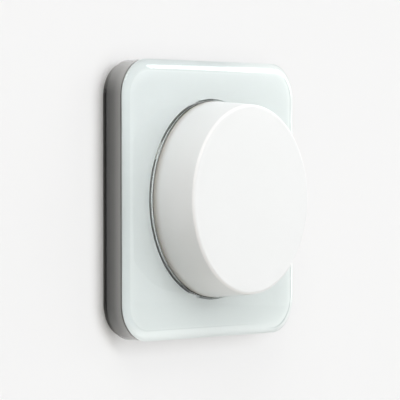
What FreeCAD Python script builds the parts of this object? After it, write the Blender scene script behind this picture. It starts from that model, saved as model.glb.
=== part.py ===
# A flush-mounted rotary push dimmer with a square glass frame and a large round knob.
#
# The knob turns without end to set the brightness and is pushed in to switch the light on and off.
# Its spindle turns a code wheel in a small encoder and presses a snap dome on the control board.
# A sheet-steel support frame lies on the wall and carries the dimmer's case, which hangs in a round
# wall box. Two claws beside the case swing out when their screws are turned and grip the box.
# The glass frame snaps on to four lugs of the support frame and hides it.
#
# The origin is the middle of the wall plane, on the knob's axis. +X is to the right seen from the room,
# +Y runs into the wall, so the room side is negative, and +Z is up. All sizes are in millimetres.
import FreeCAD, Part
import math
import os

# Glass frame
frame_side = 82.0
frame_corner = 11.0
frame_projection = 10.0
glass_thickness = 2.0
glass_edge_bevels = (0.7, 0.3)
glass_arris = 0.25
hole_arris = 0.1
film_thickness = 0.3
film_margin = 0.3
film_hole_margin = 0.8

# Moulded carrier behind the glass
carrier_inset = 0.25
carrier_wall = 1.6
carrier_rebate = 0.6
carrier_rebate_depth = 0.4
carrier_web = 1.8
carrier_hole_margin = 0.5
carrier_ring_wall = 1.4
carrier_ring_height = 0.9
carrier_rib = 1.2
carrier_rib_count = 8
carrier_hook_wall = 1.0
support_pad_side = 4.0
support_pad_inset = 5.0
shadow_gap = 2.0
plinth_inset = 0.9
plinth_wall = 1.4
plinth_shelf = 1.4
wall_clearance = 0.1

# Knob
knob_base_radius = 28.4
knob_taper = 0.4
knob_height = 14.0
knob_edge_round = 0.9
round_steps = 3
knob_wall = 1.8
knob_top = 2.2
knob_sink = 0.7
knob_rib = 1.2
knob_rib_height = 3.0
knob_rib_count = 6
hub_radius = 6.2
hub_slot_width = 1.0
hub_slot_length = 6.0
clip_wire = 0.6
clip_width = 2.4
clip_opening = 60.0
press_travel = 0.8
press_clearance = 0.3

# Fixed cover under the knob, with the thin rim that lies in the gap round its foot
knob_gap = 0.3
rim_wall = 0.5
rim_gap = 0.15
rim_sink = 1.0
cover_floor = 1.2
cover_hook_wall = 1.0
cover_hook_width = 6.0
cover_hook_angle = 53.0
cover_foot_radius = 18.0
cover_foot_wall = 1.4
cover_foot_width = 8.0
hook_clearance = 0.3
barb_height = 0.7

# Support frame
support_margin = 5.5
support_corner = 3.0
support_sheet = 1.0
box_screw_spacing = 60.0
box_slot_width = 4.6
box_slot_length = 7.0
lug_width = 8.0
lug_height = 4.0
lug_offset = 16.0
lug_window_width = 4.6
lug_window_height = 1.4

# Dimmer case, in two halves
case_radius = 23.8
case_flat = 20.2
case_wall = 1.6
case_depth = 27.0
case_split = -1.0
case_flange = 1.8
case_flange_thickness = 1.4
case_bottom_edge = 1.0
opening_clearance = 0.4
opening_flat_clearance = 0.6
cap_gap = 1.2
cap_inset = 2.4
cap_wall = 1.4
cap_groove_depth = 0.8
cap_setback = 0.2
cap_edge = 0.8
cap_column_wall = 0.8
vent_count = 5
vent_width = 1.4
vent_length = 9.0
vent_pitch = 4.0
vent_height = 11.1
housing_screw_inset = 2.8
housing_screw_angle = 54.0
housing_screw_radius = 1.1
housing_screw_length = 13.0
housing_head_radius = 2.0
housing_head_height = 1.3
housing_screw_recess = (1.2, 0.8, 0.5)
boss_radius = 2.4
screw_tip_room = 1.0
screw_clearance = 0.1
fit_gap = 0.05

# Encoder
shaft_radius = 3.0
shaft_flat = 1.5
shaft_drive_radius = 2.2
shaft_drive_flat = 0.8
shaft_tip_radius = 1.5
shaft_end_gap = 0.5
bush_radius = 4.5
bush_edge = 0.4
washer_thickness = 0.5
washer_radius = 6.4
nut_thickness = 2.0
nut_across_flats = 11.0
nut_clearance = 1.2
bush_proud = 1.0
encoder_side = 12.0
encoder_flange = 0.8
encoder_depth = 6.0
encoder_tab = 0.4
encoder_tab_width = 4.0
encoder_tab_end = 1.0
rotor_radius = 5.0
rotor_thickness = 1.8
rotor_detents = 24
rotor_detent_depth = 0.4
rotor_clearance = 0.25
rotor_chamber_depth = 3.7
circlip_radius = 3.0
circlip_thickness = 0.4
circlip_groove = 0.4
circlip_land = 0.2
circlip_opening = 1.8
plunger_flange_radius = 2.6
plunger_flange = 0.4
plunger_lead = 0.2
switch_chamber_radius = 3.3
chamber_floor = 0.8
dome_sheet = 0.15
dome_play = 0.3
dome_shoulder = 0.35

# Boards and what they carry
board_thickness = 1.2
board_clearance = 0.5
board_half_height = 14.0
power_board_room = 1.2
power_board_margin = 2.2
rib_half_width = 1.0
control_rib_z = 9.0
power_rib_z = 3.0
board_rest = 1.5
# Each chip's middle in X and Z, then its width, height and thickness
chip_places = [
    (-12.5, -4.0, 6.0, 6.0, 1.0),
    (12.0, -3.0, 4.0, 5.0, 1.4),
    (-12.0, -9.0, 3.0, 2.0, 0.8),
    (12.0, -8.0, 3.0, 2.0, 0.8),
]
encoder_pin = 0.4
encoder_pin_reach = 1.4
encoder_pin_height = 0.8
encoder_pin_end = 0.8
# The rows of legs below and above the encoder, and where each leg stands along X
encoder_pin_rows = ((-1, (-2.5, 0.0, 2.5)), (1, (-2.5, 2.5)))
transistor_size = (10.0, 3.8, 9.0)
transistor_x = 6.0
transistor_low = 2.0
spreader_thickness = 1.2
spreader_margin = 1.0
spreader_groove_width = 1.0
spreader_groove_depth = 0.6
spreader_groove_pitch = 4.5
spreader_groove_count = 5
choke_outer = 6.2
choke_inner = 3.4
choke_height = 5.0
choke_wire_layer = 0.8
choke_x = -8.2
choke_wound_angle = 300.0
choke_wound_turn = 120.0
film_capacitor_size = (12.0, 8.0, 7.0)
film_capacitor_edge = 0.6
bulk_capacitor_radius = 4.0
bulk_capacitor_height = 9.5
bulk_capacitor_x = 6.2
film_capacitor_x = 2.6
part_gap = 0.8
fuse_radius = 1.7
fuse_length = 9.0
header_size = (15.2, 2.5)
header_inset = 2.6
fuse_cap_length = 2.2
fuse_cap_step = 0.2
fuse_clip_width = 1.4
fuse_standoff = 0.3

# Terminals
terminal_count = 4
terminal_pitch = 8.8
terminal_height = 13.0
terminal_depth = 11.0
terminal_wall = 0.9
terminal_back_wall = 4.5
terminal_clip_wall = 1.2
terminal_clip_play = 0.2
terminal_clip_width = 4.0
terminal_clip_length = 5.0
terminal_clip_barb = 0.4
terminal_clip_barb_length = 1.2
wire_entry_radius = 1.6
wire_entry_drop = 9.0
wire_funnel = 0.5
bar_thickness = 0.8
bar_width = 3.0
bar_clearance = 0.2
bar_end_gap = 0.6
spring_sheet = 0.3
spring_width = 4.2
spring_rise = 4.2
button_width = 6.0
button_height = 2.8
button_proud = 1.6
button_flange = 1.5
button_flange_width = 9.4
button_drop = 3.8
button_clearance = 0.1
button_rest = 0.05
button_edge = 0.5
button_spring_spread = 3.6
button_spring_width = 2.0

# Claws
claw_offset = 8.0
claw_width = 7.0
claw_sheet = 1.2
claw_arm = 17.4
claw_tooth_reach = 3.2
claw_bend = 0.6
claw_notch = 0.9
claw_swing = 24.0
claw_eye_radius = 1.5
claw_pin_radius = 0.75
claw_pin_clearance = 0.05
claw_pin_head_radius = 1.2
claw_pin_head = 0.4
claw_pin_standoff = 1.8
claw_pin_depth = 2.6
claw_leg = 5.6
claw_screw_arm = 3.6
claw_screw_radius = 1.5
claw_screw_length = 13.0
claw_screw_head_radius = 2.9
claw_screw_head_height = 2.0
claw_screw_head_edge = 0.7
claw_screw_tip = 0.4
claw_screw_recess = (1.6, 1.2, 0.7)
claw_slot_play = 0.45
claw_window_play = 0.4
claw_window_end = 2.2
ear_sheet = 1.0
ear_clearance = 0.2

# Places along Y, from the room to the back of the wall box
glass_front_y = -frame_projection
glass_back_y = glass_front_y + glass_thickness
carrier_front_y = glass_back_y + film_thickness
web_back_y = carrier_front_y + carrier_web
knob_front_y = glass_front_y - knob_height
knob_bottom_y = glass_front_y + knob_sink
knob_ceiling_y = knob_front_y + knob_top
cover_front_y = knob_bottom_y + press_travel + press_clearance
cover_back_y = cover_front_y + cover_floor
cap_front_y = cover_back_y + cap_gap
cap_ceiling_y = cap_front_y + cap_wall
plate_front_y = -support_sheet
nut_front_y = cap_front_y - washer_thickness - nut_thickness
bush_front_y = nut_front_y - bush_proud
hub_bottom_y = bush_front_y - press_travel - press_clearance
body_front_y = cap_ceiling_y + encoder_flange
body_back_y = body_front_y + encoder_depth
rotor_front_y = body_front_y + rotor_clearance
rotor_back_y = rotor_front_y + rotor_thickness
chamber_floor_y = body_front_y + rotor_chamber_depth
switch_chamber_y = chamber_floor_y + chamber_floor
control_board_y = body_back_y
control_back_y = control_board_y + board_thickness
power_back_y = case_depth - terminal_depth - case_wall - power_board_room
power_board_y = power_back_y - board_thickness
terminal_front_y = case_depth - terminal_depth
terminal_back_y = case_depth
terminal_cavity_y = terminal_back_y - terminal_back_wall

# Radii round the knob's axis
knob_top_radius = knob_base_radius - knob_taper
cap_radius = knob_base_radius - cap_inset
rim_inner = knob_base_radius + knob_gap
rim_outer = rim_inner + rim_wall
glass_hole_radius = rim_outer + rim_gap
carrier_hole_radius = glass_hole_radius + carrier_hole_margin
case_opening_radius = case_radius + opening_clearance
case_opening_flat = case_flat + opening_flat_clearance

# Places round and across the case
case_step_depth = case_depth - terminal_depth
board_radius = case_radius - case_wall - board_clearance
board_half_width = case_flat - case_wall - board_clearance
power_board_half_width = case_flat - case_wall - power_board_margin
housing_screw_x = (case_radius - housing_screw_inset) * math.cos(math.radians(housing_screw_angle))
housing_screw_z = (case_radius - housing_screw_inset) * math.sin(math.radians(housing_screw_angle))

# Places across the wall
frame_half = frame_side / 2
carrier_half = frame_half - carrier_inset
plinth_half = carrier_half - plinth_inset
support_half = frame_half - support_margin
claw_pin_x = case_flat + claw_pin_standoff
claw_screw_x = claw_pin_x + claw_screw_arm
terminal_top = case_split - hook_clearance
terminal_half_width = terminal_count * terminal_pitch / 2
wire_entry_z = terminal_top - wire_entry_drop
button_z = terminal_top - button_drop

# How deep one solid is sunk into another before the two are joined
overlap = 0.2
# The smallest inner corner of a moulded wall
least_corner = 0.5

ORIGIN = FreeCAD.Vector(0, 0, 0)
X_AXIS = FreeCAD.Vector(1, 0, 0)
Y_AXIS = FreeCAD.Vector(0, 1, 0)
Z_AXIS = FreeCAD.Vector(0, 0, 1)
SIDES = (-1, 1)


def at(x, y, z):
    return FreeCAD.Vector(x, y, z)


def block(x0, x1, y0, y1, z0, z1):
    return Part.makeBox(x1 - x0, y1 - y0, z1 - z0, at(x0, y0, z0))


def disc(radius, y0, y1, x=0.0, z=0.0):
    return Part.makeCylinder(radius, y1 - y0, at(x, y0, z), Y_AXIS)


def ring(outer, inner, y0, y1, x=0.0, z=0.0):
    return disc(outer, y0, y1, x, z).cut(disc(inner, y0, y1, x, z))


def joined(shapes):
    first, *others = shapes
    return first.multiFuse(others).removeSplitter() if others else first


def turned(points):
    """A solid turned round the Y axis from its outline, as (radius, y) points."""
    outline = Part.makePolygon([at(r, y, 0) for r, y in points + points[:1]])
    return Part.Face(outline).revolve(ORIGIN, Y_AXIS, 360)


def rounded_plate(half, corner, y0, y1):
    """A square plate across the Y axis with round corners."""
    straight = half - corner
    arc_middle = straight + corner * math.sqrt(0.5)
    edges = []
    for turn in range(4):
        side = Part.LineSegment(at(half, y0, -straight), at(half, y0, straight)).toShape()
        bend = Part.Arc(
            at(half, y0, straight), at(arc_middle, y0, arc_middle), at(straight, y0, half)).toShape()
        for edge in (side, bend):
            edge.rotate(ORIGIN, Y_AXIS, -90 * turn)
            edges.append(edge)
    return Part.Face(Part.Wire(Part.__sortEdges__(edges))).extrude(Y_AXIS * (y1 - y0))


def rounded_tube(half, corner, wall, y0, y1):
    inside = rounded_plate(half - wall, max(corner - wall, least_corner), y0, y1)
    return rounded_plate(half, corner, y0, y1).cut(inside)


def flatted_disc(radius, flat, y0, y1):
    """A disc with its left and right sides cut flat."""
    return disc(radius, y0, y1).common(block(-flat, flat, y0, y1, -radius, radius))


def slot(x, z, width, length, y0, y1, along_x):
    """The tool of a slot with round ends, along X or along Z."""
    reach = (length - width) / 2
    dx, dz = (reach, 0.0) if along_x else (0.0, reach)
    half = width / 2
    middle = block(x - reach, x + reach, y0, y1, z - half, z + half) if along_x else block(
        x - half, x + half, y0, y1, z - reach, z + reach)
    return joined([middle, disc(half, y0, y1, x - dx, z - dz), disc(half, y0, y1, x + dx, z + dz)])


def edges_at(shape, y, least_radius):
    """The edges of a shape that lie at one depth, all of them outside a radius from the axis."""
    found = []
    for edge in shape.Edges:
        box = edge.BoundBox
        flat = abs(box.YMin - y) < 1e-6 and abs(box.YMax - y) < 1e-6
        middle = edge.valueAt((edge.FirstParameter + edge.LastParameter) / 2)
        if flat and math.hypot(middle.x, middle.z) > least_radius:
            found.append(edge)
    return found


def about_axis(shape, degrees):
    return shape.rotated(ORIGIN, Y_AXIS, degrees)


def mirrored_x(shape):
    return shape.mirror(ORIGIN, X_AXIS)


def cross_recess(x, z, y, reach, depth, width):
    """The tool of a cross-head screw's recess."""
    half = width / 2
    return joined([
        block(x - reach, x + reach, y, y + depth, z - half, z + half),
        block(x - half, x + half, y, y + depth, z - reach, z + reach),
    ])


def d_shaft(radius, flat, y0, y1):
    """A round bar with one flat, which faces up."""
    return disc(radius, y0, y1).cut(block(-radius, radius, y0, y1, flat, radius))


def make_glass_plate():
    """The back-painted plate: a rounded front edge, a round hole and ground arrises."""
    plate = rounded_plate(frame_half, frame_corner, glass_front_y, glass_back_y)
    for setback in glass_edge_bevels:
        plate = plate.makeChamfer(setback, edges_at(plate, glass_front_y, 0))
    plate = plate.makeChamfer(glass_arris, edges_at(plate, glass_back_y, 0))
    bevel = turned([
        (0, glass_front_y),
        (glass_hole_radius + hole_arris, glass_front_y),
        (glass_hole_radius, glass_front_y + hole_arris),
        (glass_hole_radius, glass_back_y),
        (0, glass_back_y),
    ])
    return plate.cut(bevel)


def make_bonding_film():
    """The white adhesive film that backs the glass and holds it to the carrier."""
    half = frame_half - film_margin
    film = rounded_plate(half, frame_corner - film_margin, glass_back_y, carrier_front_y)
    return film.cut(disc(glass_hole_radius + film_hole_margin, glass_back_y, carrier_front_y))


def carrier_hook(side, height):
    """A snap blade that hangs from the carrier's web and catches in a lug's window."""
    inner = support_half + hook_clearance
    blade_half = lug_window_width / 2
    barb_half = lug_window_width / 2 - hook_clearance
    window_front = plate_front_y - (lug_height + lug_window_height) / 2
    barb_back = window_front + lug_window_height - hook_clearance
    blade = block(
        inner, inner + carrier_hook_wall, web_back_y - overlap, barb_back + hook_clearance,
        height - blade_half, height + blade_half)
    barb = block(
        support_half - support_sheet + hook_clearance, inner + overlap, window_front, barb_back,
        height - barb_half, height + barb_half)
    hook = joined([blade, barb])
    return hook if side > 0 else mirrored_x(hook)


def support_pad(side, end):
    """A square post under one corner of the web that stands on the support frame."""
    half = support_pad_side / 2
    x = side * (support_half - support_pad_inset)
    z = end * (support_half - support_pad_inset)
    return block(x - half, x + half, web_back_y - overlap, plate_front_y, z - half, z + half)


def make_frame_carrier():
    """The grey moulding that shows beside the glass: a rebated front, a set-back plinth, ribs and hooks."""
    corner = frame_corner - carrier_inset
    web = rounded_plate(carrier_half - carrier_rebate, corner - carrier_rebate, carrier_front_y, web_back_y)
    wall = rounded_tube(
        carrier_half, corner, carrier_wall, carrier_front_y + carrier_rebate_depth, -shadow_gap)
    shelf_wall = plinth_inset + plinth_wall
    shelf = rounded_tube(carrier_half, corner, shelf_wall, -shadow_gap - plinth_shelf, -shadow_gap)
    plinth = rounded_tube(
        plinth_half, corner - plinth_inset, plinth_wall, -shadow_gap - plinth_shelf, -wall_clearance)
    ring_outer = carrier_hole_radius + carrier_ring_wall
    ring_back_y = web_back_y + carrier_ring_height
    collar = disc(ring_outer, carrier_front_y, ring_back_y)
    half_step = 180 / carrier_rib_count
    reach = (carrier_half - carrier_wall / 2) / math.cos(math.radians(half_step))
    rib = block(
        ring_outer - carrier_ring_wall / 2, reach, web_back_y - overlap, ring_back_y,
        -carrier_rib / 2, carrier_rib / 2)
    ribs = [about_axis(rib, half_step * (2 * n + 1)) for n in range(carrier_rib_count)]
    pads = [support_pad(sx, sz) for sx in SIDES for sz in SIDES]
    hooks = [carrier_hook(side, height) for side in SIDES for height in (-lug_offset, lug_offset)]
    body = joined([web, wall, shelf, plinth, collar, *ribs, *pads, *hooks])
    return body.cut(disc(carrier_hole_radius, carrier_front_y, 0))


def edge_points(radius, front, edge_round):
    """The (radius, y) points of a turned edge, rounded in a few short bevels."""
    points = []
    for n in range(round_steps + 1):
        angle = math.pi / 2 * n / round_steps
        points.append((
            radius - edge_round * (1 - math.cos(angle)),
            front + edge_round * (1 - math.sin(angle))))
    return points


def make_knob_shell():
    """The hollow white knob with a split hub on radial ribs."""
    edge = edge_points(knob_top_radius, knob_front_y, knob_edge_round)
    shell = turned([(0, knob_bottom_y), (knob_base_radius, knob_bottom_y), *edge, (0, knob_front_y)])
    shell = shell.cut(disc(knob_top_radius - knob_wall, knob_ceiling_y, knob_bottom_y))
    hub = disc(hub_radius, knob_ceiling_y - overlap, hub_bottom_y)
    ribs = []
    for turn in range(knob_rib_count):
        rib = block(
            hub_radius - hub_slot_width / 2, knob_top_radius - knob_wall + overlap,
            knob_ceiling_y - overlap, knob_ceiling_y + knob_rib_height, -knob_rib / 2, knob_rib / 2)
        ribs.append(about_axis(rib, turn * 360 / knob_rib_count))
    knob = joined([shell, hub, *ribs])
    bore = d_shaft(shaft_radius + fit_gap, shaft_flat + fit_gap, knob_ceiling_y, hub_bottom_y)
    half = hub_slot_width / 2
    slots = [
        block(-hub_radius, hub_radius, hub_bottom_y - hub_slot_length, hub_bottom_y, -half, half),
        block(-half, half, hub_bottom_y - hub_slot_length, hub_bottom_y, -hub_radius, hub_radius),
    ]
    return knob.cut(joined([bore, *slots]))


def make_knob_clip():
    """The open steel band that closes the split hub on the spindle."""
    middle = hub_bottom_y - hub_slot_length / 2
    inner = hub_radius
    band = ring(inner + clip_wire, inner, middle - clip_width / 2, middle + clip_width / 2)
    reach = 2 * hub_radius
    half = reach * math.tan(math.radians(clip_opening / 2))
    y0, y1 = middle - clip_width, middle + clip_width
    corners = [at(0, y0, 0), at(half, y0, -reach), at(-half, y0, -reach), at(0, y0, 0)]
    wedge = Part.Face(Part.makePolygon(corners)).extrude(Y_AXIS * (y1 - y0))
    return band.cut(wedge)


def cover_hook(angle):
    """A snap blade of the cover that catches in the groove round the cap."""
    outer = cap_radius + hook_clearance + cover_hook_wall
    half = cover_hook_width / 2
    window = block(0, outer, cover_back_y - overlap, groove_front_y() + barb_height, -half, half)
    blade = ring(outer, cap_radius + hook_clearance, cover_back_y - overlap, groove_front_y() + barb_height)
    barb = ring(
        outer, cap_radius - cap_groove_depth + hook_clearance,
        groove_front_y(), groove_front_y() + barb_height)
    return about_axis(joined([blade, barb]).common(window), angle)


def groove_front_y():
    """The room side of the groove round the cap."""
    return (cap_ceiling_y + plate_front_y - barb_height - hook_clearance) / 2


def make_centre_cover():
    """The fixed white disc under the knob, with the rim that lines the glass's hole."""
    nut_room = washer_radius + nut_clearance
    disc_part = turned([
        (nut_room, cover_front_y),
        (rim_inner, cover_front_y),
        (rim_inner, glass_front_y + rim_sink),
        (rim_outer, glass_front_y + rim_sink),
        (rim_outer, cover_back_y),
        (nut_room, cover_back_y),
    ])
    foot = block(
        cover_foot_radius - cover_foot_wall, cover_foot_radius, cover_back_y - overlap, cap_front_y,
        -cover_foot_width / 2, cover_foot_width / 2)
    feet = [about_axis(foot, 90 * turn) for turn in range(4)]
    angles = [cover_hook_angle, 180 - cover_hook_angle, 180 + cover_hook_angle, -cover_hook_angle]
    return joined([disc_part, *feet, *[cover_hook(angle) for angle in angles]])


def claw_ear(z):
    """One of the two ears, bent back from the support frame, that hold a claw's pin."""
    reach = claw_eye_radius
    lower = block(claw_pin_x - reach, claw_pin_x + reach, plate_front_y, claw_pin_depth, z, z + ear_sheet)
    tip = Part.makeCylinder(reach, ear_sheet, at(claw_pin_x, claw_pin_depth, z), Z_AXIS)
    hole = Part.makeCylinder(
        claw_pin_radius + claw_pin_clearance, ear_sheet, at(claw_pin_x, claw_pin_depth, z), Z_AXIS)
    return joined([lower, tip]).cut(hole)


def lug(side, height):
    """A lug bent forward from the support frame's edge, with the window for a carrier hook."""
    outer, inner = support_half, support_half - support_sheet
    top_y = plate_front_y - lug_height
    window_y = plate_front_y - lug_height / 2
    low, high = height - lug_width / 2, height + lug_width / 2
    tab = block(inner, outer, top_y, plate_front_y + overlap, low, high)
    window = block(
        inner, outer, window_y - lug_window_height / 2, window_y + lug_window_height / 2,
        height - lug_window_width / 2, height + lug_window_width / 2)
    tab = tab.cut(window)
    return tab if side > 0 else mirrored_x(tab)


def ear_places():
    low = claw_offset - claw_width / 2 - ear_clearance - ear_sheet
    high = claw_offset + claw_width / 2 + ear_clearance
    return low, high


def make_support_frame():
    """The sheet-steel frame: box-screw slots, lugs for the glass frame and ears for the claws."""
    plate = rounded_plate(support_half, support_corner, plate_front_y, 0)
    tools = [flatted_disc(case_opening_radius, case_opening_flat, plate_front_y, 0)]
    half_spacing = box_screw_spacing / 2
    for side in SIDES:
        place = side * half_spacing
        tools.append(slot(place, 0, box_slot_width, box_slot_length, plate_front_y, 0, True))
        tools.append(slot(0, place, box_slot_width, box_slot_length, plate_front_y, 0, False))
        tools.append(disc(
            claw_screw_radius + screw_clearance, plate_front_y, 0, side * claw_screw_x, claw_offset))
    plate = plate.cut(joined(tools))
    lugs = [lug(side, height) for side in SIDES for height in (-lug_offset, lug_offset)]
    ears = [claw_ear(z) for z in ear_places()]
    return joined([plate, *lugs, *ears, *[mirrored_x(ear) for ear in ears]])


def make_claw_right():
    """The right claw at rest: a rolled eye, a slotted leg for its screw and an arm with a toothed end."""
    half_swing = claw_swing / 2
    z0 = claw_offset - claw_width / 2
    centre = at(claw_pin_x, claw_pin_depth, z0)
    eye = Part.makeCylinder(claw_eye_radius, claw_width, centre, Z_AXIS)
    leg = block(
        claw_pin_x, claw_pin_x + claw_leg, claw_pin_depth - claw_sheet / 2, claw_pin_depth + claw_sheet / 2,
        z0, z0 + claw_width)
    play = claw_screw_radius + claw_slot_play
    leg_hole = slot(
        claw_screw_x, claw_offset, 2 * (claw_screw_radius + 2 * screw_clearance), 2 * play,
        claw_pin_depth - claw_sheet, claw_pin_depth + claw_sheet, True)
    leg = leg.cut(leg_hole).rotated(centre, Z_AXIS, half_swing)
    arm_x = claw_pin_x - claw_sheet / 2
    arm_end = claw_pin_depth + claw_arm
    arm = block(arm_x, arm_x + claw_sheet, claw_pin_depth, arm_end, z0, z0 + claw_width)
    window_half = claw_screw_radius + claw_window_play
    window_end = plate_front_y + claw_screw_length + claw_window_end
    arm = arm.cut(block(
        arm_x, arm_x + claw_sheet, claw_pin_depth + claw_eye_radius, window_end,
        claw_offset - window_half, claw_offset + window_half))
    tooth_outline = [
        (arm_x, arm_end), (arm_x, arm_end - claw_sheet),
        (arm_x + claw_sheet, arm_end - claw_sheet - claw_bend),
        (arm_x + claw_sheet + claw_tooth_reach, arm_end - claw_sheet + claw_bend),
        (arm_x + claw_sheet + claw_tooth_reach, arm_end),
    ]
    corners = [at(x, y, z0) for x, y in tooth_outline + tooth_outline[:1]]
    tooth = Part.Face(Part.makePolygon(corners)).extrude(Z_AXIS * claw_width)
    notches = []
    tip_x = arm_x + claw_sheet + claw_tooth_reach
    notch_front = arm_end - 2 * claw_sheet
    for place in (z0 + claw_width / 3, z0 + 2 * claw_width / 3):
        notch = Part.Face(Part.makePolygon([
            at(tip_x, notch_front, place - claw_notch / 2), at(tip_x, notch_front, place + claw_notch / 2),
            at(tip_x - claw_notch, notch_front, place), at(tip_x, notch_front, place - claw_notch / 2),
        ])).extrude(Y_AXIS * 3 * claw_sheet)
        notches.append(notch)
    claw = joined([eye, leg, arm, tooth])
    bore = Part.makeCylinder(claw_pin_radius + claw_pin_clearance, claw_width, centre, Z_AXIS)
    return claw.cut(joined([bore, *notches]))


def make_claw_pins():
    """The two pins that the claws swing on, held by their ears."""
    low, high = ear_places()
    length = high + ear_sheet - low
    pin = Part.makeCylinder(claw_pin_radius, length, at(claw_pin_x, claw_pin_depth, low), Z_AXIS)
    heads = [
        Part.makeCylinder(claw_pin_head_radius, claw_pin_head, at(claw_pin_x, claw_pin_depth, z), Z_AXIS)
        for z in (low - claw_pin_head, high + ear_sheet)
    ]
    riveted = joined([pin, *heads])
    return Part.makeCompound([riveted, mirrored_x(riveted)])


def make_claw_screw_right():
    """The pan-head screw that draws the right claw's leg forward."""
    head_front = plate_front_y - claw_screw_head_height
    screw_end = plate_front_y + claw_screw_length
    screw = turned([
        (0, head_front),
        (claw_screw_head_radius - claw_screw_head_edge, head_front),
        (claw_screw_head_radius, head_front + claw_screw_head_edge),
        (claw_screw_head_radius, plate_front_y),
        (claw_screw_radius, plate_front_y),
        (claw_screw_radius, screw_end - claw_screw_tip),
        (claw_screw_radius - claw_screw_tip, screw_end),
        (0, screw_end),
    ]).translated(at(claw_screw_x, 0, claw_offset))
    return screw.cut(cross_recess(claw_screw_x, claw_offset, head_front, *claw_screw_recess))


def make_front_cap():
    """The front half of the dimmer's case, screwed down on the support frame."""
    flat = case_flat - cap_setback
    outside = flatted_disc(cap_radius, flat, cap_front_y, plate_front_y)
    outside = outside.makeChamfer(cap_edge, edges_at(outside, cap_front_y, 0))
    inside = flatted_disc(cap_radius - cap_wall, flat - cap_wall, cap_ceiling_y, plate_front_y)
    cap = outside.cut(inside)
    groove = ring(
        cap_radius + 1, cap_radius - cap_groove_depth, groove_front_y(),
        groove_front_y() + barb_height + hook_clearance)
    cap = cap.cut(groove)
    columns, bores = [], []
    for x, z in housing_screw_places():
        column_radius = housing_head_radius + cap_column_wall
        columns.append(disc(column_radius, cap_ceiling_y - overlap, plate_front_y, x, z))
        bores.append(disc(housing_screw_radius + screw_clearance, cap_front_y, plate_front_y, x, z))
        bores.append(disc(
            housing_head_radius + screw_clearance, cap_front_y, cap_front_y + housing_head_height, x, z))
    bush_hole = disc(bush_radius + screw_clearance, cap_front_y, cap_ceiling_y)
    return joined([cap, *columns]).cut(joined([bush_hole, *bores]))


def housing_screw_places():
    """The two screws lie across the case from each other: upper left and lower right."""
    return [(side * housing_screw_x, -side * housing_screw_z) for side in SIDES]


def make_housing_screws():
    """The two screws that clamp the support frame between the cap and the case."""
    screws = []
    for x, z in housing_screw_places():
        seat_y = cap_front_y + housing_head_height
        head = disc(housing_head_radius, cap_front_y, seat_y, x, z)
        shank = disc(housing_screw_radius, seat_y - overlap, seat_y + housing_screw_length, x, z)
        screw = joined([head, shank]).cut(cross_recess(x, z, cap_front_y, *housing_screw_recess))
        screws.append(screw)
    return Part.makeCompound(screws)


def case_part(radius, flat, y0, step, y1, split):
    """The stepped outline of the case: full round to the step, then only its upper part."""
    front = flatted_disc(radius, flat, y0, step)
    rear = flatted_disc(radius, flat, step - overlap, y1)
    rear = rear.common(block(-radius, radius, step - overlap, y1, split, radius))
    return joined([front, rear])


def make_rear_case():
    """The rear half of the case, a stepped pot with ribs, screw bosses and vents."""
    outside = case_part(case_radius, case_flat, plate_front_y, case_step_depth, case_depth, case_split)
    outside = outside.makeChamfer(case_bottom_edge, edges_at(outside, case_depth, 0))
    flange = flatted_disc(case_radius + case_flange, case_flat, 0, case_flange_thickness)
    inside = case_part(
        case_radius - case_wall, case_flat - case_wall, plate_front_y,
        case_step_depth - case_wall, case_depth - case_wall, case_split + case_wall)
    pot = joined([outside, flange]).cut(inside)
    inner_flat = case_flat - case_wall
    rib_end = case_step_depth - case_wall + overlap
    ribs = []
    for side in SIDES:
        for z in (-control_rib_z, control_rib_z):
            ends = sorted((side * (board_half_width - board_rest), side * (inner_flat + overlap)))
            ribs.append(block(*ends, control_back_y, rib_end, z - rib_half_width, z + rib_half_width))
        for z in (-power_rib_z, power_rib_z):
            ends = sorted((side * (power_board_half_width - board_rest), side * (inner_flat + overlap)))
            ribs.append(block(*ends, power_back_y, rib_end, z - rib_half_width, z + rib_half_width))
    bosses, bores = [], []
    screw_end = cap_front_y + housing_head_height + housing_screw_length
    boss_end = screw_end + 2 * screw_tip_room
    within = disc(case_radius - overlap, plate_front_y, boss_end)
    for x, z in housing_screw_places():
        bosses.append(disc(boss_radius, plate_front_y, boss_end, x, z).common(within))
        bores.append(disc(housing_screw_radius + fit_gap, plate_front_y, screw_end + screw_tip_room, x, z))
    vents = []
    vent_low = case_split + vent_height - vent_length / 2
    for n in range(vent_count):
        x = (n - (vent_count - 1) / 2) * vent_pitch
        vents.append(block(
            x - vent_width / 2, x + vent_width / 2, case_depth - case_wall, case_depth,
            vent_low, vent_low + vent_length))
    passages = [
        block(x - bar_thickness / 2 - bar_clearance, x + bar_thickness / 2 + bar_clearance,
              case_step_depth - case_wall, case_step_depth,
              wire_entry_z - bar_width / 2 - bar_clearance, wire_entry_z + bar_width / 2 + bar_clearance)
        for x in bar_places()
    ]
    clips = [terminal_clip(side) for side in SIDES]
    return joined([pot, *ribs, *bosses, *clips]).cut(joined([*bores, *vents, *passages]))


def terminal_clip(side):
    """A snap arm on the case that holds the row of terminals by its end."""
    inner = terminal_half_width + terminal_clip_play
    tip_y = terminal_front_y + terminal_clip_length
    z = terminal_top - terminal_height / 2
    half = terminal_clip_width / 2
    arm = block(inner, inner + terminal_clip_wall, case_step_depth - case_wall, tip_y, z - half, z + half)
    barb = block(
        terminal_half_width - terminal_clip_barb, inner + overlap, tip_y - terminal_clip_barb_length, tip_y,
        z - half, z + half)
    clip = joined([arm, barb])
    return clip if side > 0 else mirrored_x(clip)


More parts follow.
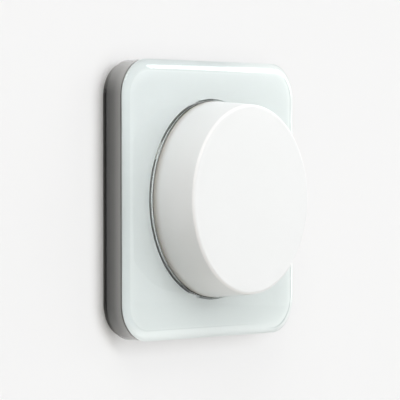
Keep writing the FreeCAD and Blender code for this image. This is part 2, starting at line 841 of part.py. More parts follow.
def terminal_clip_room(side):
    """The tool of the recess that a snap arm's barb catches in."""
    tip_y = terminal_front_y + terminal_clip_length
    z = terminal_top - terminal_height / 2
    half = terminal_clip_width / 2 + terminal_clip_play
    room = block(
        terminal_half_width - terminal_clip_barb - terminal_clip_play, terminal_half_width,
        tip_y - terminal_clip_barb_length, tip_y + terminal_clip_play, z - half, z + half)
    return room if side > 0 else mirrored_x(room)


def terminal_centres():
    return [(n - (terminal_count - 1) / 2) * terminal_pitch for n in range(terminal_count)]


def bar_places():
    beside = terminal_wall + bar_clearance + bar_thickness / 2 - terminal_pitch / 2
    return [x + beside for x in terminal_centres()]


def button_centres():
    return [-terminal_pitch, terminal_pitch]


def make_terminal_modules():
    """Four interlocking terminal housings, each with a funnelled wire entry at the back."""
    half_height = button_height / 2 + button_clearance
    low, high = button_z - half_height, button_z + half_height
    room_half = button_width / 2 + button_clearance
    guide_half = button_flange_width / 2 + button_clearance
    rooms = [
        block(x - room_half, x + room_half, terminal_front_y, terminal_back_y, low, high)
        for x in button_centres()
    ]
    guides = [
        block(x - guide_half, x + guide_half, terminal_front_y, terminal_cavity_y, low, high)
        for x in button_centres()
    ]
    clip_rooms = [terminal_clip_room(side) for side in SIDES]
    modules = []
    for x in terminal_centres():
        half = terminal_pitch / 2
        body = block(
            x - half, x + half, terminal_front_y, terminal_back_y,
            terminal_top - terminal_height, terminal_top)
        cavity = block(
            x - half + terminal_wall, x + half - terminal_wall, terminal_front_y, terminal_cavity_y,
            terminal_top - terminal_height + terminal_wall, terminal_top - terminal_wall)
        entry = disc(wire_entry_radius, terminal_cavity_y, terminal_back_y, x, wire_entry_z)
        funnel = Part.makeCone(
            wire_entry_radius, wire_entry_radius + wire_funnel, wire_funnel,
            at(x, terminal_back_y - wire_funnel, wire_entry_z), Y_AXIS)
        modules.append(body.cut(joined([cavity, entry, funnel, *rooms, *guides, *clip_rooms])))
    return Part.makeCompound(modules)


def make_terminal_bars():
    """The brass bars that carry the current from the power board into the terminals."""
    bars = []
    for x in bar_places():
        bars.append(block(
            x - bar_thickness / 2, x + bar_thickness / 2, power_back_y, terminal_cavity_y - bar_end_gap,
            wire_entry_z - bar_width / 2, wire_entry_z + bar_width / 2))
    return Part.makeCompound(bars)


def make_terminal_springs():
    """The bent leaf springs that press a wire against its bar."""
    springs = []
    low = terminal_top - terminal_height + terminal_wall
    for x in terminal_centres():
        right = x + terminal_pitch / 2 - terminal_wall - bar_clearance
        left = right - spring_width
        front = terminal_front_y
        base = block(left, right, front, terminal_cavity_y - bar_clearance, low, low + spring_sheet)
        leg = block(left, right, front, front + spring_sheet, low, low + spring_rise)
        springs.append(joined([base, leg]))
    return Part.makeCompound(springs)


def make_release_button(x):
    """A release button for two terminals, held by its flange behind the back wall."""
    half_width, half_height = button_width / 2, button_height / 2
    flange_back = terminal_cavity_y - button_rest
    stem = block(
        x - half_width, x + half_width, flange_back - button_flange, terminal_back_y + button_proud,
        button_z - half_height, button_z + half_height)
    stem = stem.makeChamfer(button_edge, edges_at(stem, terminal_back_y + button_proud, 0))
    flange = block(
        x - button_flange_width / 2, x + button_flange_width / 2, flange_back - button_flange, flange_back,
        button_z - half_height, button_z + half_height)
    return joined([stem, flange])


def make_button_spring(x):
    """The bent leaf that pushes a release button back out, standing on the case."""
    front = terminal_front_y
    back = terminal_cavity_y - button_rest - button_flange
    knee = (front + back) / 2
    half = button_spring_spread / 2
    sheet = spring_sheet
    outline = [
        (-half, front), (half, front), (half, front + sheet), (sheet - half, front + sheet),
        (half, knee - sheet), (half, knee + sheet), (sheet - half, back - sheet), (half, back - sheet),
        (half, back), (-half, back), (-half, back - sheet), (half - 2 * sheet, knee),
        (-half, front + sheet), (-half, front),
    ]
    leaf = Part.Face(Part.makePolygon([at(x + u, y, button_z) for u, y in outline]))
    leaf.translate(Z_AXIS * (-button_spring_width / 2))
    return leaf.extrude(Z_AXIS * button_spring_width)


def make_encoder_bush():
    """The die-cast bush and face plate of the encoder, with two legs that grip its body."""
    half = encoder_side / 2
    face = block(-half - encoder_tab, half + encoder_tab, cap_ceiling_y, body_front_y, -half, half)
    neck = disc(bush_radius, bush_front_y, cap_ceiling_y + overlap)
    neck = neck.makeChamfer(bush_edge, edges_at(neck, bush_front_y, 0))
    legs = []
    for side in SIDES:
        ends = sorted((side * (half + fit_gap), side * (half + encoder_tab)))
        legs.append(block(
            *ends, cap_ceiling_y, body_back_y - encoder_tab_end,
            -encoder_tab_width / 2, encoder_tab_width / 2))
    bore = disc(shaft_radius + fit_gap, bush_front_y, body_front_y)
    return joined([face, neck, *legs]).cut(bore)


def make_encoder_body():
    """The encoder's plastic body, with a chamber for the code wheel and one for the push switch."""
    half = encoder_side / 2
    body = block(-half, half, body_front_y, body_back_y, -half, half)
    rotor_room = disc(rotor_radius + rotor_clearance, body_front_y, chamber_floor_y)
    guide = disc(shaft_tip_radius + screw_clearance, chamber_floor_y, switch_chamber_y)
    switch_room = disc(switch_chamber_radius, switch_chamber_y, body_back_y)
    return body.cut(joined([rotor_room, guide, switch_room]))


def make_encoder_rotor():
    """The code wheel: a toothed rim for the detent and a flatted bore that slides on the spindle."""
    corners = []
    for n in range(2 * rotor_detents):
        radius = rotor_radius - (n % 2) * rotor_detent_depth
        angle = math.pi * n / rotor_detents
        corners.append(at(radius * math.cos(angle), rotor_front_y, radius * math.sin(angle)))
    wheel = Part.Face(Part.makePolygon(corners + corners[:1])).extrude(Y_AXIS * rotor_thickness)
    bore = d_shaft(shaft_drive_radius + fit_gap, shaft_drive_flat + fit_gap, rotor_front_y, rotor_back_y)
    return wheel.cut(bore)


def shoulder_y():
    return body_front_y - press_travel


def make_encoder_shaft():
    """The steel spindle: a flatted end for the knob, a flatted neck for the wheel and a round tip."""
    front_y = knob_ceiling_y + shaft_end_gap
    grip = d_shaft(shaft_radius, shaft_flat, front_y, hub_bottom_y)
    journal = disc(shaft_radius, hub_bottom_y, shoulder_y())
    neck_end = circlip_y() + circlip_thickness + circlip_land
    neck = d_shaft(shaft_drive_radius, shaft_drive_flat, shoulder_y() - overlap, neck_end)
    tip = disc(shaft_tip_radius, neck_end - overlap, chamber_floor_y - plunger_lead - fit_gap)
    flat = block(
        -shaft_radius, shaft_radius, neck_end - overlap, chamber_floor_y, shaft_drive_flat, shaft_radius)
    shaft = joined([grip, journal, neck, tip.cut(flat)])
    groove = ring(
        shaft_radius, shaft_drive_radius - circlip_groove, circlip_y(), circlip_y() + circlip_thickness)
    return shaft.cut(groove)


def circlip_y():
    return rotor_back_y + fit_gap


def make_shaft_circlip():
    """The open ring in the spindle's groove that keeps it in the encoder."""
    y0, y1 = circlip_y(), circlip_y() + circlip_thickness
    band = ring(circlip_radius, shaft_drive_radius - circlip_groove, y0, y1)
    half = circlip_opening / 2
    return band.cut(block(-half, half, y0, y1, -circlip_radius, 0))


def make_switch_plunger():
    """The pin that passes the spindle's push to the dome without turning."""
    head_y = chamber_floor_y - plunger_lead
    pin = disc(shaft_tip_radius, head_y, switch_chamber_y + fit_gap + plunger_flange)
    flange = disc(
        plunger_flange_radius, switch_chamber_y + fit_gap, switch_chamber_y + fit_gap + plunger_flange)
    return joined([pin, flange])


def dome_top_y():
    return switch_chamber_y + fit_gap + plunger_flange + fit_gap


def make_switch_dome():
    """The snap dome of the push switch: a shallow cap of spring steel."""
    top = dome_top_y()
    reach = switch_chamber_radius - dome_play
    shoulder = reach * dome_shoulder
    return turned([
        (0, top), (shoulder, top), (reach, control_board_y - dome_sheet), (reach, control_board_y),
        (reach - dome_sheet, control_board_y), (shoulder, top + dome_sheet), (0, top + dome_sheet),
    ])


def make_encoder_pins():
    """The five bent legs that solder the encoder to the control board."""
    pins = []
    half = encoder_side / 2
    top_y = body_back_y - encoder_pin_height
    for side, places in encoder_pin_rows:
        for x in places:
            near, far = sorted((side * half, side * (half + encoder_pin_reach)))
            edge = side * (half + encoder_pin_reach - encoder_pin)
            far_edge = side * (half + encoder_pin_reach)
            shelf = block(x - encoder_pin, x + encoder_pin, top_y, top_y + encoder_pin, near, far)
            low, high = sorted((edge, far_edge))
            leg_end = control_back_y + encoder_pin_end
            leg = block(x - encoder_pin, x + encoder_pin, top_y, leg_end, low, high)
            pins.append(joined([shelf, leg]))
    return Part.makeCompound(pins)


def make_bush_washer():
    return ring(washer_radius, bush_radius + screw_clearance, cap_front_y - washer_thickness, cap_front_y)


def make_bush_nut():
    """The hexagon nut that clamps the encoder in the cap."""
    corner = nut_across_flats / 2 / math.cos(math.pi / 6)
    corners = []
    for n in range(6):
        angle = math.pi / 3 * n
        corners.append(at(corner * math.cos(angle), nut_front_y, corner * math.sin(angle)))
    nut = Part.Face(Part.makePolygon(corners + corners[:1])).extrude(Y_AXIS * nut_thickness)
    return nut.cut(disc(bush_radius + fit_gap, nut_front_y, cap_front_y))


def make_control_board():
    """The front board, which carries the encoder."""
    board = disc(board_radius, control_board_y, control_back_y)
    board = board.common(block(
        -board_half_width, board_half_width, control_board_y, control_back_y,
        -board_half_height, board_half_height))
    half = encoder_side / 2
    reach = half + encoder_pin_reach - encoder_pin / 2
    holes = []
    for side, places in encoder_pin_rows:
        for x in places:
            hole = encoder_pin + screw_clearance
            holes.append(block(
                x - hole, x + hole, control_board_y, control_back_y,
                side * reach - hole, side * reach + hole))
    return board.cut(joined(holes))


def make_power_board():
    """The rear board, which carries the parts that switch and filter the mains."""
    board = disc(board_radius, power_board_y, power_back_y)
    return board.common(block(
        -power_board_half_width, power_board_half_width, power_board_y, power_back_y,
        -board_half_height, board_half_height))


def make_control_chips():
    """The processor and its small neighbours on the back of the control board."""
    chips = []
    for x, z, width, height, depth in chip_places:
        chips.append(block(
            x - width / 2, x + width / 2, control_back_y, control_back_y + depth,
            z - height / 2, z + height / 2))
    return Part.makeCompound(chips)


def header_z():
    return -board_half_height + header_inset


def make_board_header():
    """The pin strip that joins the two boards."""
    half_length, half_width = header_size[0] / 2, header_size[1] / 2
    return block(
        -half_length, half_length, control_back_y, power_board_y,
        header_z() - half_width, header_z() + half_width)


def make_power_transistors():
    """The two transistors that cut the mains wave, flat on the power board."""
    width, thickness, height = transistor_size
    return Part.makeCompound([
        block(side * transistor_x - width / 2, side * transistor_x + width / 2,
              power_board_y - thickness, power_board_y, transistor_low, transistor_low + height)
        for side in SIDES
    ])


def make_heat_spreader():
    """The aluminium plate on the transistors, with shallow fins."""
    width, thickness, height = transistor_size
    front = power_board_y - thickness - spreader_thickness
    half = transistor_x + width / 2 + spreader_margin
    low, high = transistor_low - spreader_margin, transistor_low + height + spreader_margin
    plate = block(-half, half, front, front + spreader_thickness, low, high)
    grooves = []
    for n in range(spreader_groove_count):
        x = (n - (spreader_groove_count - 1) / 2) * spreader_groove_pitch
        grooves.append(block(
            x - spreader_groove_width / 2, x + spreader_groove_width / 2,
            front, front + spreader_groove_depth, low, high))
    return plate.cut(joined(grooves))


def choke_place():
    return choke_x, case_split + case_wall + choke_outer + choke_wire_layer + part_gap


def make_choke_core():
    x, z = choke_place()
    front = power_back_y + choke_wire_layer
    return ring(choke_outer, choke_inner, front, front + choke_height, x, z)


def make_choke_winding():
    """The copper winding that covers most of the ring core, as one sleeve open at its ends."""
    x, z = choke_place()
    front = power_back_y
    back = front + choke_height + 2 * choke_wire_layer
    inner, outer = choke_inner - choke_wire_layer, choke_outer + choke_wire_layer
    section = [(inner, front), (outer, front), (outer, back), (inner, back), (inner, front)]
    corners = [at(r, y, 0) for r, y in section]
    sleeve = Part.Face(Part.makePolygon(corners)).revolve(ORIGIN, Y_AXIS, choke_wound_angle)
    core_room = ring(
        choke_outer + fit_gap, choke_inner - fit_gap, front + choke_wire_layer, back - choke_wire_layer)
    return sleeve.cut(core_room).rotated(ORIGIN, Y_AXIS, choke_wound_turn).translated(at(x, 0, z))


def film_capacitor_low():
    return case_split + case_wall + part_gap


def make_film_capacitor():
    width, height, depth = film_capacitor_size
    low = film_capacitor_low()
    capacitor = block(
        film_capacitor_x, film_capacitor_x + width, power_back_y, power_back_y + depth, low, low + height)
    return capacitor.makeChamfer(film_capacitor_edge, edges_at(capacitor, power_back_y + depth, 0))


def make_bulk_capacitor():
    """The round electrolytic capacitor, above the film capacitor."""
    z = film_capacitor_low() + film_capacitor_size[1] + part_gap + bulk_capacitor_radius
    return disc(
        bulk_capacitor_radius, power_back_y, power_back_y + bulk_capacitor_height, bulk_capacitor_x, z)


def make_fuse():
    """The glass fuse across the front of the power board, with its end caps in two clips."""
    y = power_board_y - fuse_radius - fuse_standoff
    z = header_z() + header_size[1] / 2 + fuse_radius + part_gap
    half = fuse_length / 2
    tube = Part.makeCylinder(fuse_radius - fuse_cap_step, fuse_length, at(-half, y, z), X_AXIS)
    caps = [
        Part.makeCylinder(fuse_radius, fuse_cap_length, at(x, y, z), X_AXIS)
        for x in (-half, half - fuse_cap_length)
    ]
    clips = []
    for side in SIDES:
        middle = side * (half - fuse_cap_length / 2)
        clips.append(block(
            middle - fuse_clip_width / 2, middle + fuse_clip_width / 2, y, power_board_y,
            z - fuse_radius - fuse_cap_step, z + fuse_radius + fuse_cap_step))
    return joined([tube, *caps, *clips])


def make_everything():
    claw = make_claw_right()
    claw_screw = make_claw_screw_right()
    left_button_x, right_button_x = button_centres()
    return {
        "glass_plate": make_glass_plate(),
        "bonding_film": make_bonding_film(),
        "frame_carrier": make_frame_carrier(),
        "centre_cover": make_centre_cover(),
        "knob_shell": make_knob_shell(),
        "knob_clip": make_knob_clip(),
        "support_frame": make_support_frame(),
        "front_cap": make_front_cap(),
        "rear_case": make_rear_case(),
        "housing_screws": make_housing_screws(),
        "claw_right": claw,
        "claw_left": mirrored_x(claw),
        "claw_pins": make_claw_pins(),
        "claw_screw_right": claw_screw,
        "claw_screw_left": mirrored_x(claw_screw),
        "encoder_bush": make_encoder_bush(),
        "encoder_body": make_encoder_body(),
        "encoder_rotor": make_encoder_rotor(),
        "encoder_shaft": make_encoder_shaft(),
        "encoder_pins": make_encoder_pins(),
        "shaft_circlip": make_shaft_circlip(),
        "bush_washer": make_bush_washer(),
        "bush_nut": make_bush_nut(),
        "switch_plunger": make_switch_plunger(),
        "switch_dome": make_switch_dome(),
        "control_board": make_control_board(),
        "control_chips": make_control_chips(),
        "board_header": make_board_header(),
        "power_board": make_power_board(),
        "power_transistors": make_power_transistors(),
        "heat_spreader": make_heat_spreader(),
        "choke_core": make_choke_core(),
        "choke_winding": make_choke_winding(),
        "film_capacitor": make_film_capacitor(),
        "bulk_capacitor": make_bulk_capacitor(),
        "fuse": make_fuse(),
        "terminal_modules": make_terminal_modules(),
        "terminal_bars": make_terminal_bars(),
        "terminal_springs": make_terminal_springs(),
        "release_button_left": make_release_button(left_button_x),
        "release_button_right": make_release_button(right_button_x),
        "button_spring_left": make_button_spring(left_button_x),
        "button_spring_right": make_button_spring(right_button_x),
    }


os.makedirs("parts", exist_ok=True)
for name, shape in make_everything().items():
    shape.exportStep(f"parts/{name}.step")
    print(f"{name:22s} solids {len(shape.Solids)}  volume {shape.Volume:9.2f}  valid {shape.isValid()}")
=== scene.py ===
# %% [markdown]
# A wall dimmer with a square glass frame and a big round knob, dressed in Blender. The packed
# model is the fixed frame of the scene: every piece made here sits where its solid says, and
# rides on the body that carries it.

# %% Load the frame
import math

import bpy
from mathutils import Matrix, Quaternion, Vector


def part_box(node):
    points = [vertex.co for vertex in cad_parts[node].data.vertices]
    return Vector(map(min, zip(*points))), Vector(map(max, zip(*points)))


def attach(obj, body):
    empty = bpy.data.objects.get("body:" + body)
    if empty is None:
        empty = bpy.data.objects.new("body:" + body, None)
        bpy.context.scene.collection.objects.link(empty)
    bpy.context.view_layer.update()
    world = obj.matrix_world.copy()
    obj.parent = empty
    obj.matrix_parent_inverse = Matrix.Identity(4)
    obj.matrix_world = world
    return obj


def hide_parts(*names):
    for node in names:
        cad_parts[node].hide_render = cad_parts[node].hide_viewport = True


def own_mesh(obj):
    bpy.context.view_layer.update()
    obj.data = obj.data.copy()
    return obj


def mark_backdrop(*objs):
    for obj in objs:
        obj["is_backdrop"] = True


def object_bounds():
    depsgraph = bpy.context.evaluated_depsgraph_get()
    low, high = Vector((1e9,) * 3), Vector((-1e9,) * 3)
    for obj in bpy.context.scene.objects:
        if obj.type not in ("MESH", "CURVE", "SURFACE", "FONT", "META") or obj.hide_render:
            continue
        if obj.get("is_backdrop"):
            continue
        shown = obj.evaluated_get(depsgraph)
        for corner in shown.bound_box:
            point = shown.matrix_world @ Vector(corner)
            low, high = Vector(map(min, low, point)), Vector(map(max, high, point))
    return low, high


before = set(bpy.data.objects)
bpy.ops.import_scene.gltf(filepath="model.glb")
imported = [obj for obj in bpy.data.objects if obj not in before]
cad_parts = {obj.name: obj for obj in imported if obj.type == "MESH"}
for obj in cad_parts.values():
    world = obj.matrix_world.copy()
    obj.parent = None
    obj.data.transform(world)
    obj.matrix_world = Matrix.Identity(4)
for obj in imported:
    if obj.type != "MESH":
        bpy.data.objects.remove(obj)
cad_low, cad_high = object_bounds()


def in_mm(lengths):
    """Lengths in metres as they are printed."""
    return [round(1000 * length, 2) for length in lengths]


print("solids:", len(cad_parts), "box in mm:", in_mm(cad_high - cad_low))

# %% [markdown]
# ## The camera
# The picture was taken from the left of the switch, a long way off, so its edges stay almost
# parallel. A camera could be kept on its target by a constraint, but two angles and a distance
# from a point on the glass say the same and are easily fitted to a picture. A long lens a
# little under a metre away gives the same calm perspective.

# %% Camera
camera_azimuth = -51.95
camera_elevation = 0.56
camera_roll = -0.09
camera_distance = 0.9145
camera_target = Vector((-0.0068, -0.00972, -0.00018))
camera_lens = 278.64
camera_sensor = 36
nearest_seen = 0.1
farthest_seen = 50


def stand_off(name, data, target, azimuth, elevation, distance, roll=0.0):
    """A camera or a lamp that looks at its target from so many degrees right of it and up."""
    turn, lift = math.radians(azimuth), math.radians(elevation)
    back = Vector((
        math.sin(turn) * math.cos(lift), -math.cos(turn) * math.cos(lift), math.sin(lift)))
    made = bpy.data.objects.new(name, data)
    bpy.context.scene.collection.objects.link(made)
    made.location = target + back * distance
    made.rotation_mode = "QUATERNION"
    made.rotation_quaternion = (
        back.to_track_quat("Z", "Y") @ Quaternion((0, 0, 1), math.radians(roll)))
    return made


camera = stand_off(
    "camera", bpy.data.cameras.new("camera"), camera_target,
    camera_azimuth, camera_elevation, camera_distance, camera_roll)
camera.data.lens = camera_lens
camera.data.sensor_width = camera_sensor
camera.data.clip_start = nearest_seen
camera.data.clip_end = farthest_seen
bpy.context.scene.camera = camera
print("camera at", [round(value, 3) for value in camera.location])

# %% [markdown]
# ## Finishes as sums
# A finish is a small network of nodes. It could be written node by node, but that is long and
# hard to read, so a wire between two nodes is wrapped in a class that knows how to add,
# subtract, multiply and divide. `1 - mask` then reads as it is meant, and adds its own Math
# node.

# %% Wire
class Wire:
    """A number or a colour on its way through a finish."""

    def __init__(self, finish, socket):
        self.finish = finish
        self.socket = socket

    def __add__(self, other):
        return self.finish.maths("ADD", self, other)

    def __sub__(self, other):
        return self.finish.maths("SUBTRACT", self, other)

    def __rsub__(self, other):
        return self.finish.maths("SUBTRACT", other, self)

    def __mul__(self, other):
        return self.finish.maths("MULTIPLY", self, other)

    def __truediv__(self, other):
        return self.finish.maths("DIVIDE", self, other)

    def __rtruediv__(self, other):
        return self.finish.maths("DIVIDE", other, self)

    def __pow__(self, other):
        return self.finish.maths("POWER", self, other)

    def __rpow__(self, other):
        return self.finish.maths("POWER", other, self)

    __radd__ = __add__
    __rmul__ = __mul__


print("a wire can be added, subtracted, multiplied, divided and raised to a power:", Wire.__name__)

# %% [markdown]
# ## The nodes of a finish
# The second class holds the network itself. All its nodes come from one method, so that a
# node's settings are always in place before its sockets are filled. The others are the few
# things that every finish asks for: noise, cells, a blend of two colours, a soft step, and
# where a point lies on the object. A Mix node keeps its sockets for colours behind those for
# numbers and vectors, so they are called by their numbers.

# %% Finish
first_colour, second_colour, mixed_colour = 6, 7, 2


class Finish:
    """One material being made, or the sky: nodes go in, and the last one reaches the output."""

    def __init__(self, name, world=False):
        self.owner = (bpy.data.worlds if world else bpy.data.materials).new(name)
        self.owner.use_nodes = True
        self.tree = self.owner.node_tree
        self.tree.nodes.clear()
        self.output = "ShaderNodeOutputWorld" if world else "ShaderNodeOutputMaterial"

    def node(self, kind, settings=None, inputs=None, output=0):
        """Adds a node: its settings first, then what its sockets get. Hands back one output."""
        made = self.tree.nodes.new(kind)
        for name, value in (settings or {}).items():
            if name == "stops":
                self.set_stops(made.color_ramp.elements, value)
            else:
                setattr(made, name, value)
        for key, value in (inputs or {}).items():
            if isinstance(value, Wire):
                self.tree.links.new(value.socket, made.inputs[key])
            else:
                made.inputs[key].default_value = value
        return Wire(self, made.outputs[output]) if made.outputs else made

    def set_stops(self, elements, stops):
        """Gives a ramp its stops, each a place from 0 to 1 and a colour."""
        while len(elements) < len(stops):
            elements.new(0.5)
        for element, (position, colour) in zip(elements, stops):
            element.position = position
            element.color = (*colour, 1)

    def shader(self, **sockets):
        """The main shader, with its sockets named in words joined by underscores."""
        return self.node("ShaderNodeBsdfPrincipled", {}, {
            name.replace("_", " ").title().replace("Ior", "IOR"): value
            for name, value in sockets.items()})

    def ends_in(self, surface):
        """Leads the last node to the output and hands over the finished material or sky."""
        self.node(self.output, {}, {"Surface": surface})
        return self.owner

    def maths(self, operation, first, second=0.0):
        """One sum, which is a Math node."""
        return self.node("ShaderNodeMath", {"operation": operation}, {0: first, 1: second})

    def place(self):
        """Where a point lies on its object, in metres."""
        return self.node("ShaderNodeTexCoord", output="Object")

    def along(self, axis):
        """How far a point lies along one axis of the object."""
        return self.node("ShaderNodeSeparateXYZ", {}, {"Vector": self.place()}, axis)

    def from_axis(self):
        """How far a point lies from the knob's axis."""
        across, height = self.along("X"), self.along("Z")
        return (across * across + height * height) ** 0.5

    def out_from_edge(self, half, corner):
        """How far a point lies outside a round-cornered square in the plane of the wall."""
        reach = []
        for axis in ("X", "Z"):
            past = self.maths("ABSOLUTE", self.along(axis)) - (half - corner)
            reach.append(self.maths("MAXIMUM", past, 0.0))
        return self.maths("SQRT", reach[0] * reach[0] + reach[1] * reach[1]) - corner

    def noise(self, size, detail=3.0, stretch=(1, 1, 1)):
        """Cloudy noise whose blotches are about `size` metres wide, stretched along the axes."""
        spread = self.node("ShaderNodeMapping", {}, {"Vector": self.place(), "Scale": stretch})
        return self.node(
            "ShaderNodeTexNoise", {}, {"Vector": spread, "Scale": 1 / size, "Detail": detail})

    def cells(self, size, output):
        """Cells about `size` metres wide: how far off their middles are, or one tone for each."""
        return self.node(
            "ShaderNodeTexVoronoi", {"feature": "F1"},
            {"Vector": self.place(), "Scale": 1 / size}, output)

    def blend(self, share, first, second):
        """A colour between two, by a share from 0 to 1."""
        first, second = (
            colour if isinstance(colour, Wire) else (*colour, 1) for colour in (first, second))
        return self.node(
            "ShaderNodeMix", {"data_type": "RGBA", "clamp_factor": True},
            {"Factor": share, first_colour: first, second_colour: second}, mixed_colour)

    def rise(self, value, low, high):
        """A share that climbs softly from 0 to 1 between two values."""
        return self.node(
            "ShaderNodeMapRange", {"interpolation_type": "SMOOTHSTEP"},
            {"Value": value, "From Min": low, "From Max": high})

    def fall(self, value, low, high):
        """A share that sinks softly from 1 to 0 between two values."""
        return 1 - self.rise(value, low, high)

    def sway(self, level, *noises):
        """A level that goes up and down with each noise, by as much as is given with it."""
        for noise, amount in noises:
            level = level + (noise - 0.5) * amount
        return level

    def bump(self, height, depth, strength=0.5):
        """A normal that rises and falls by `depth` metres with a height from 0 to 1."""
        return self.node(
            "ShaderNodeBump", {}, {"Height": height, "Distance": depth, "Strength": strength},
            "Normal")

    def looked_at(self):
        """1 for rays that look at a thing straight, in a mirror or through glass, else 0."""
        straight, mirrored, through = (
            self.node("ShaderNodeLightPath", output=f"Is {ray} Ray")
            for ray in ("Camera", "Glossy", "Transmission"))
        return self.maths("MAXIMUM", straight, self.maths("MAXIMUM", mirrored, through))


print("finishes are written with", Wire.__name__, "and", Finish.__name__)

# %% [markdown]
# ## Moulded plastics
# The case, its cap, the terminals and the buttons are moulded plastic. It could be one flat
# colour, but it never is: the tool leaves a fine grain, the resin has a faint cloud, and the
# gloss wanders with both. Two noises give all that, and because the plastics differ only in
# colour, gloss and grain, one function makes them all. It serves for pressed ferrite too.

# %% Plastics
plastic_cloud_size = 0.012
fine_sway = 0.12
slow_sway = 0.06
finishes = {}


def moulded(name, colour, roughness, grain=0.00018, grain_depth=0.000004, cloud=0.03):
    """Keeps a plastic of one colour, with a fine grain and a slow cloud, under its name."""
    finish = Finish(name)
    fine = finish.noise(grain, detail=2.0)
    slow = finish.noise(plastic_cloud_size)
    darker = tuple(channel * (1 - cloud) for channel in colour)
    lighter = tuple(min(1.0, channel * (1 + cloud)) for channel in colour)
    finishes[name] = finish.ends_in(finish.shader(
        base_color=finish.blend(slow, darker, lighter),
        roughness=finish.sway(roughness, (fine, fine_sway), (slow, slow_sway)),
        normal=finish.bump(fine, grain_depth)))


moulded("cap_plastic", (0.62, 0.63, 0.62), 0.42)
moulded("case_plastic", (0.045, 0.047, 0.05), 0.45, grain=0.0004, grain_depth=0.00001, cloud=0.15)
moulded("encoder_plastic", (0.02, 0.02, 0.022), 0.4, cloud=0.1)
moulded("rotor_plastic", (0.7, 0.68, 0.6), 0.4)
moulded("chip_black", (0.018, 0.018, 0.02), 0.5, cloud=0.1)
moulded("header_black", (0.03, 0.03, 0.03), 0.45, cloud=0.1)
moulded("capacitor_yellow", (0.75, 0.5, 0.05), 0.35)
moulded("terminal_plastic", (0.5, 0.51, 0.52), 0.42)
moulded("button_orange", (0.75, 0.2, 0.03), 0.38)
moulded("ferrite", (0.06, 0.062, 0.065), 0.6, grain=0.0003, cloud=0.2)
print("plastics:", len(finishes))

# %% [markdown]
# ## Metals
# The screws, claws, springs and the encoder's bush are plated, rolled or cast metal. It could
# be a plain mirror with one roughness, but handled metal has a fine grain and a cloudy gloss,
# so two noises move its gloss and darken its colour a little. The copper wire of the choke
# wears a clear enamel as well, which is a coat over the metal.

# %% Metals
metal_grain_size = 0.0004
metal_cloud_size = 0.006
metal_darkening = 0.12
metal_cloud_share, metal_grain_share = 0.7, 0.3
metal_cloud_sway, metal_grain_sway = 0.16, 0.1
metal_grain_depth = 0.000003


def metal(name, colour, roughness, **coat):
    """Keeps a metal under its name, with a clear coat where one is asked for."""
    finish = Finish(name)
    grain = finish.noise(metal_grain_size, detail=4.0)
    slow = finish.noise(metal_cloud_size, detail=4.0)
    darker = tuple(channel * (1 - metal_darkening) for channel in colour)
    finishes[name] = finish.ends_in(finish.shader(
        base_color=finish.blend(
            slow * metal_cloud_share + grain * metal_grain_share, darker, colour),
        metallic=1.0,
        roughness=finish.sway(
            roughness, (slow, metal_cloud_sway), (grain, metal_grain_sway)),
        normal=finish.bump(grain, metal_grain_depth, strength=0.4),
        **coat))


metal("zinced_screw", (0.7, 0.71, 0.72), 0.28)
metal("claw_sheet", (0.6, 0.6, 0.6), 0.36)
metal("spring_steel", (0.55, 0.56, 0.58), 0.25)
metal("die_cast", (0.6, 0.61, 0.63), 0.42)
metal("brass_nut", (0.78, 0.58, 0.26), 0.3)
metal("shaft_steel", (0.62, 0.62, 0.63), 0.26)
metal("spreader_metal", (0.72, 0.73, 0.74), 0.4)
metal("copper_wire", (0.62, 0.23, 0.09), 0.3, coat_weight=0.8, coat_roughness=0.1)
metal("fuse_metal", (0.75, 0.75, 0.75), 0.28)
metal("bar_brass", (0.8, 0.6, 0.28), 0.3)
print("with the metals:", len(finishes))

# %% [markdown]
# ## Boards, sheet and capacitor
# A green board shows its copper tracks as paler lines under the lacquer, with tinned dots
# where the legs are soldered. Hot-dipped sheet shows its zinc crystals as faint patches, each
# with its own gloss. The can of the capacitor wears a dark sleeve with a pale stripe on its
# minus side. Pictures could be laid on them, but patterns made of nodes need no file and stay
# sharp: bricks draw the tracks, cells draw the dots and the crystals, and a soft step draws the
# stripe.

# %% Patterns
track_gap = 0.00016
track_length = 0.0047
track_pitch = 0.0011
track_row_offset = 0.37
track_squash = 0.6
track_squashed_row = 3
track_softness = 0.2
track_patch_size = 0.005
track_where = (0.47, 0.49)
track_share = 0.8
track_green = (0.04, 0.26, 0.09)
lacquer_cloud_size = 0.001
lacquer_greens = ((0.01, 0.09, 0.03), (0.016, 0.12, 0.04))
board_roughness = 0.34
solder_pitch = 0.0026
solder_dot = (0.12, 0.16)
solder_depth = 0.00003
solder_smoother = 0.08
solder_grey = (0.66, 0.66, 0.64)
zinc_crystal_size = 0.0045
zinc_streak_size = 0.0005
zinc_streak_stretch = (1, 1, 0.2)
zinc_crystal_share, zinc_streak_share = 0.7, 0.3
zinc_greys = ((0.52, 0.53, 0.54), (0.74, 0.75, 0.76))
zinc_roughness = 0.28
zinc_crystal_rougher = 0.16
streak_sway = 0.1
stripe_edge = (0.62, 0.66)
stripe_grey = (0.5, 0.52, 0.55)
sleeve_blue = (0.015, 0.02, 0.06)
sleeve_grain_size = 0.0003
sleeve_roughness = 0.3
sleeve_sway = 0.1
satin_depth = 0.000002


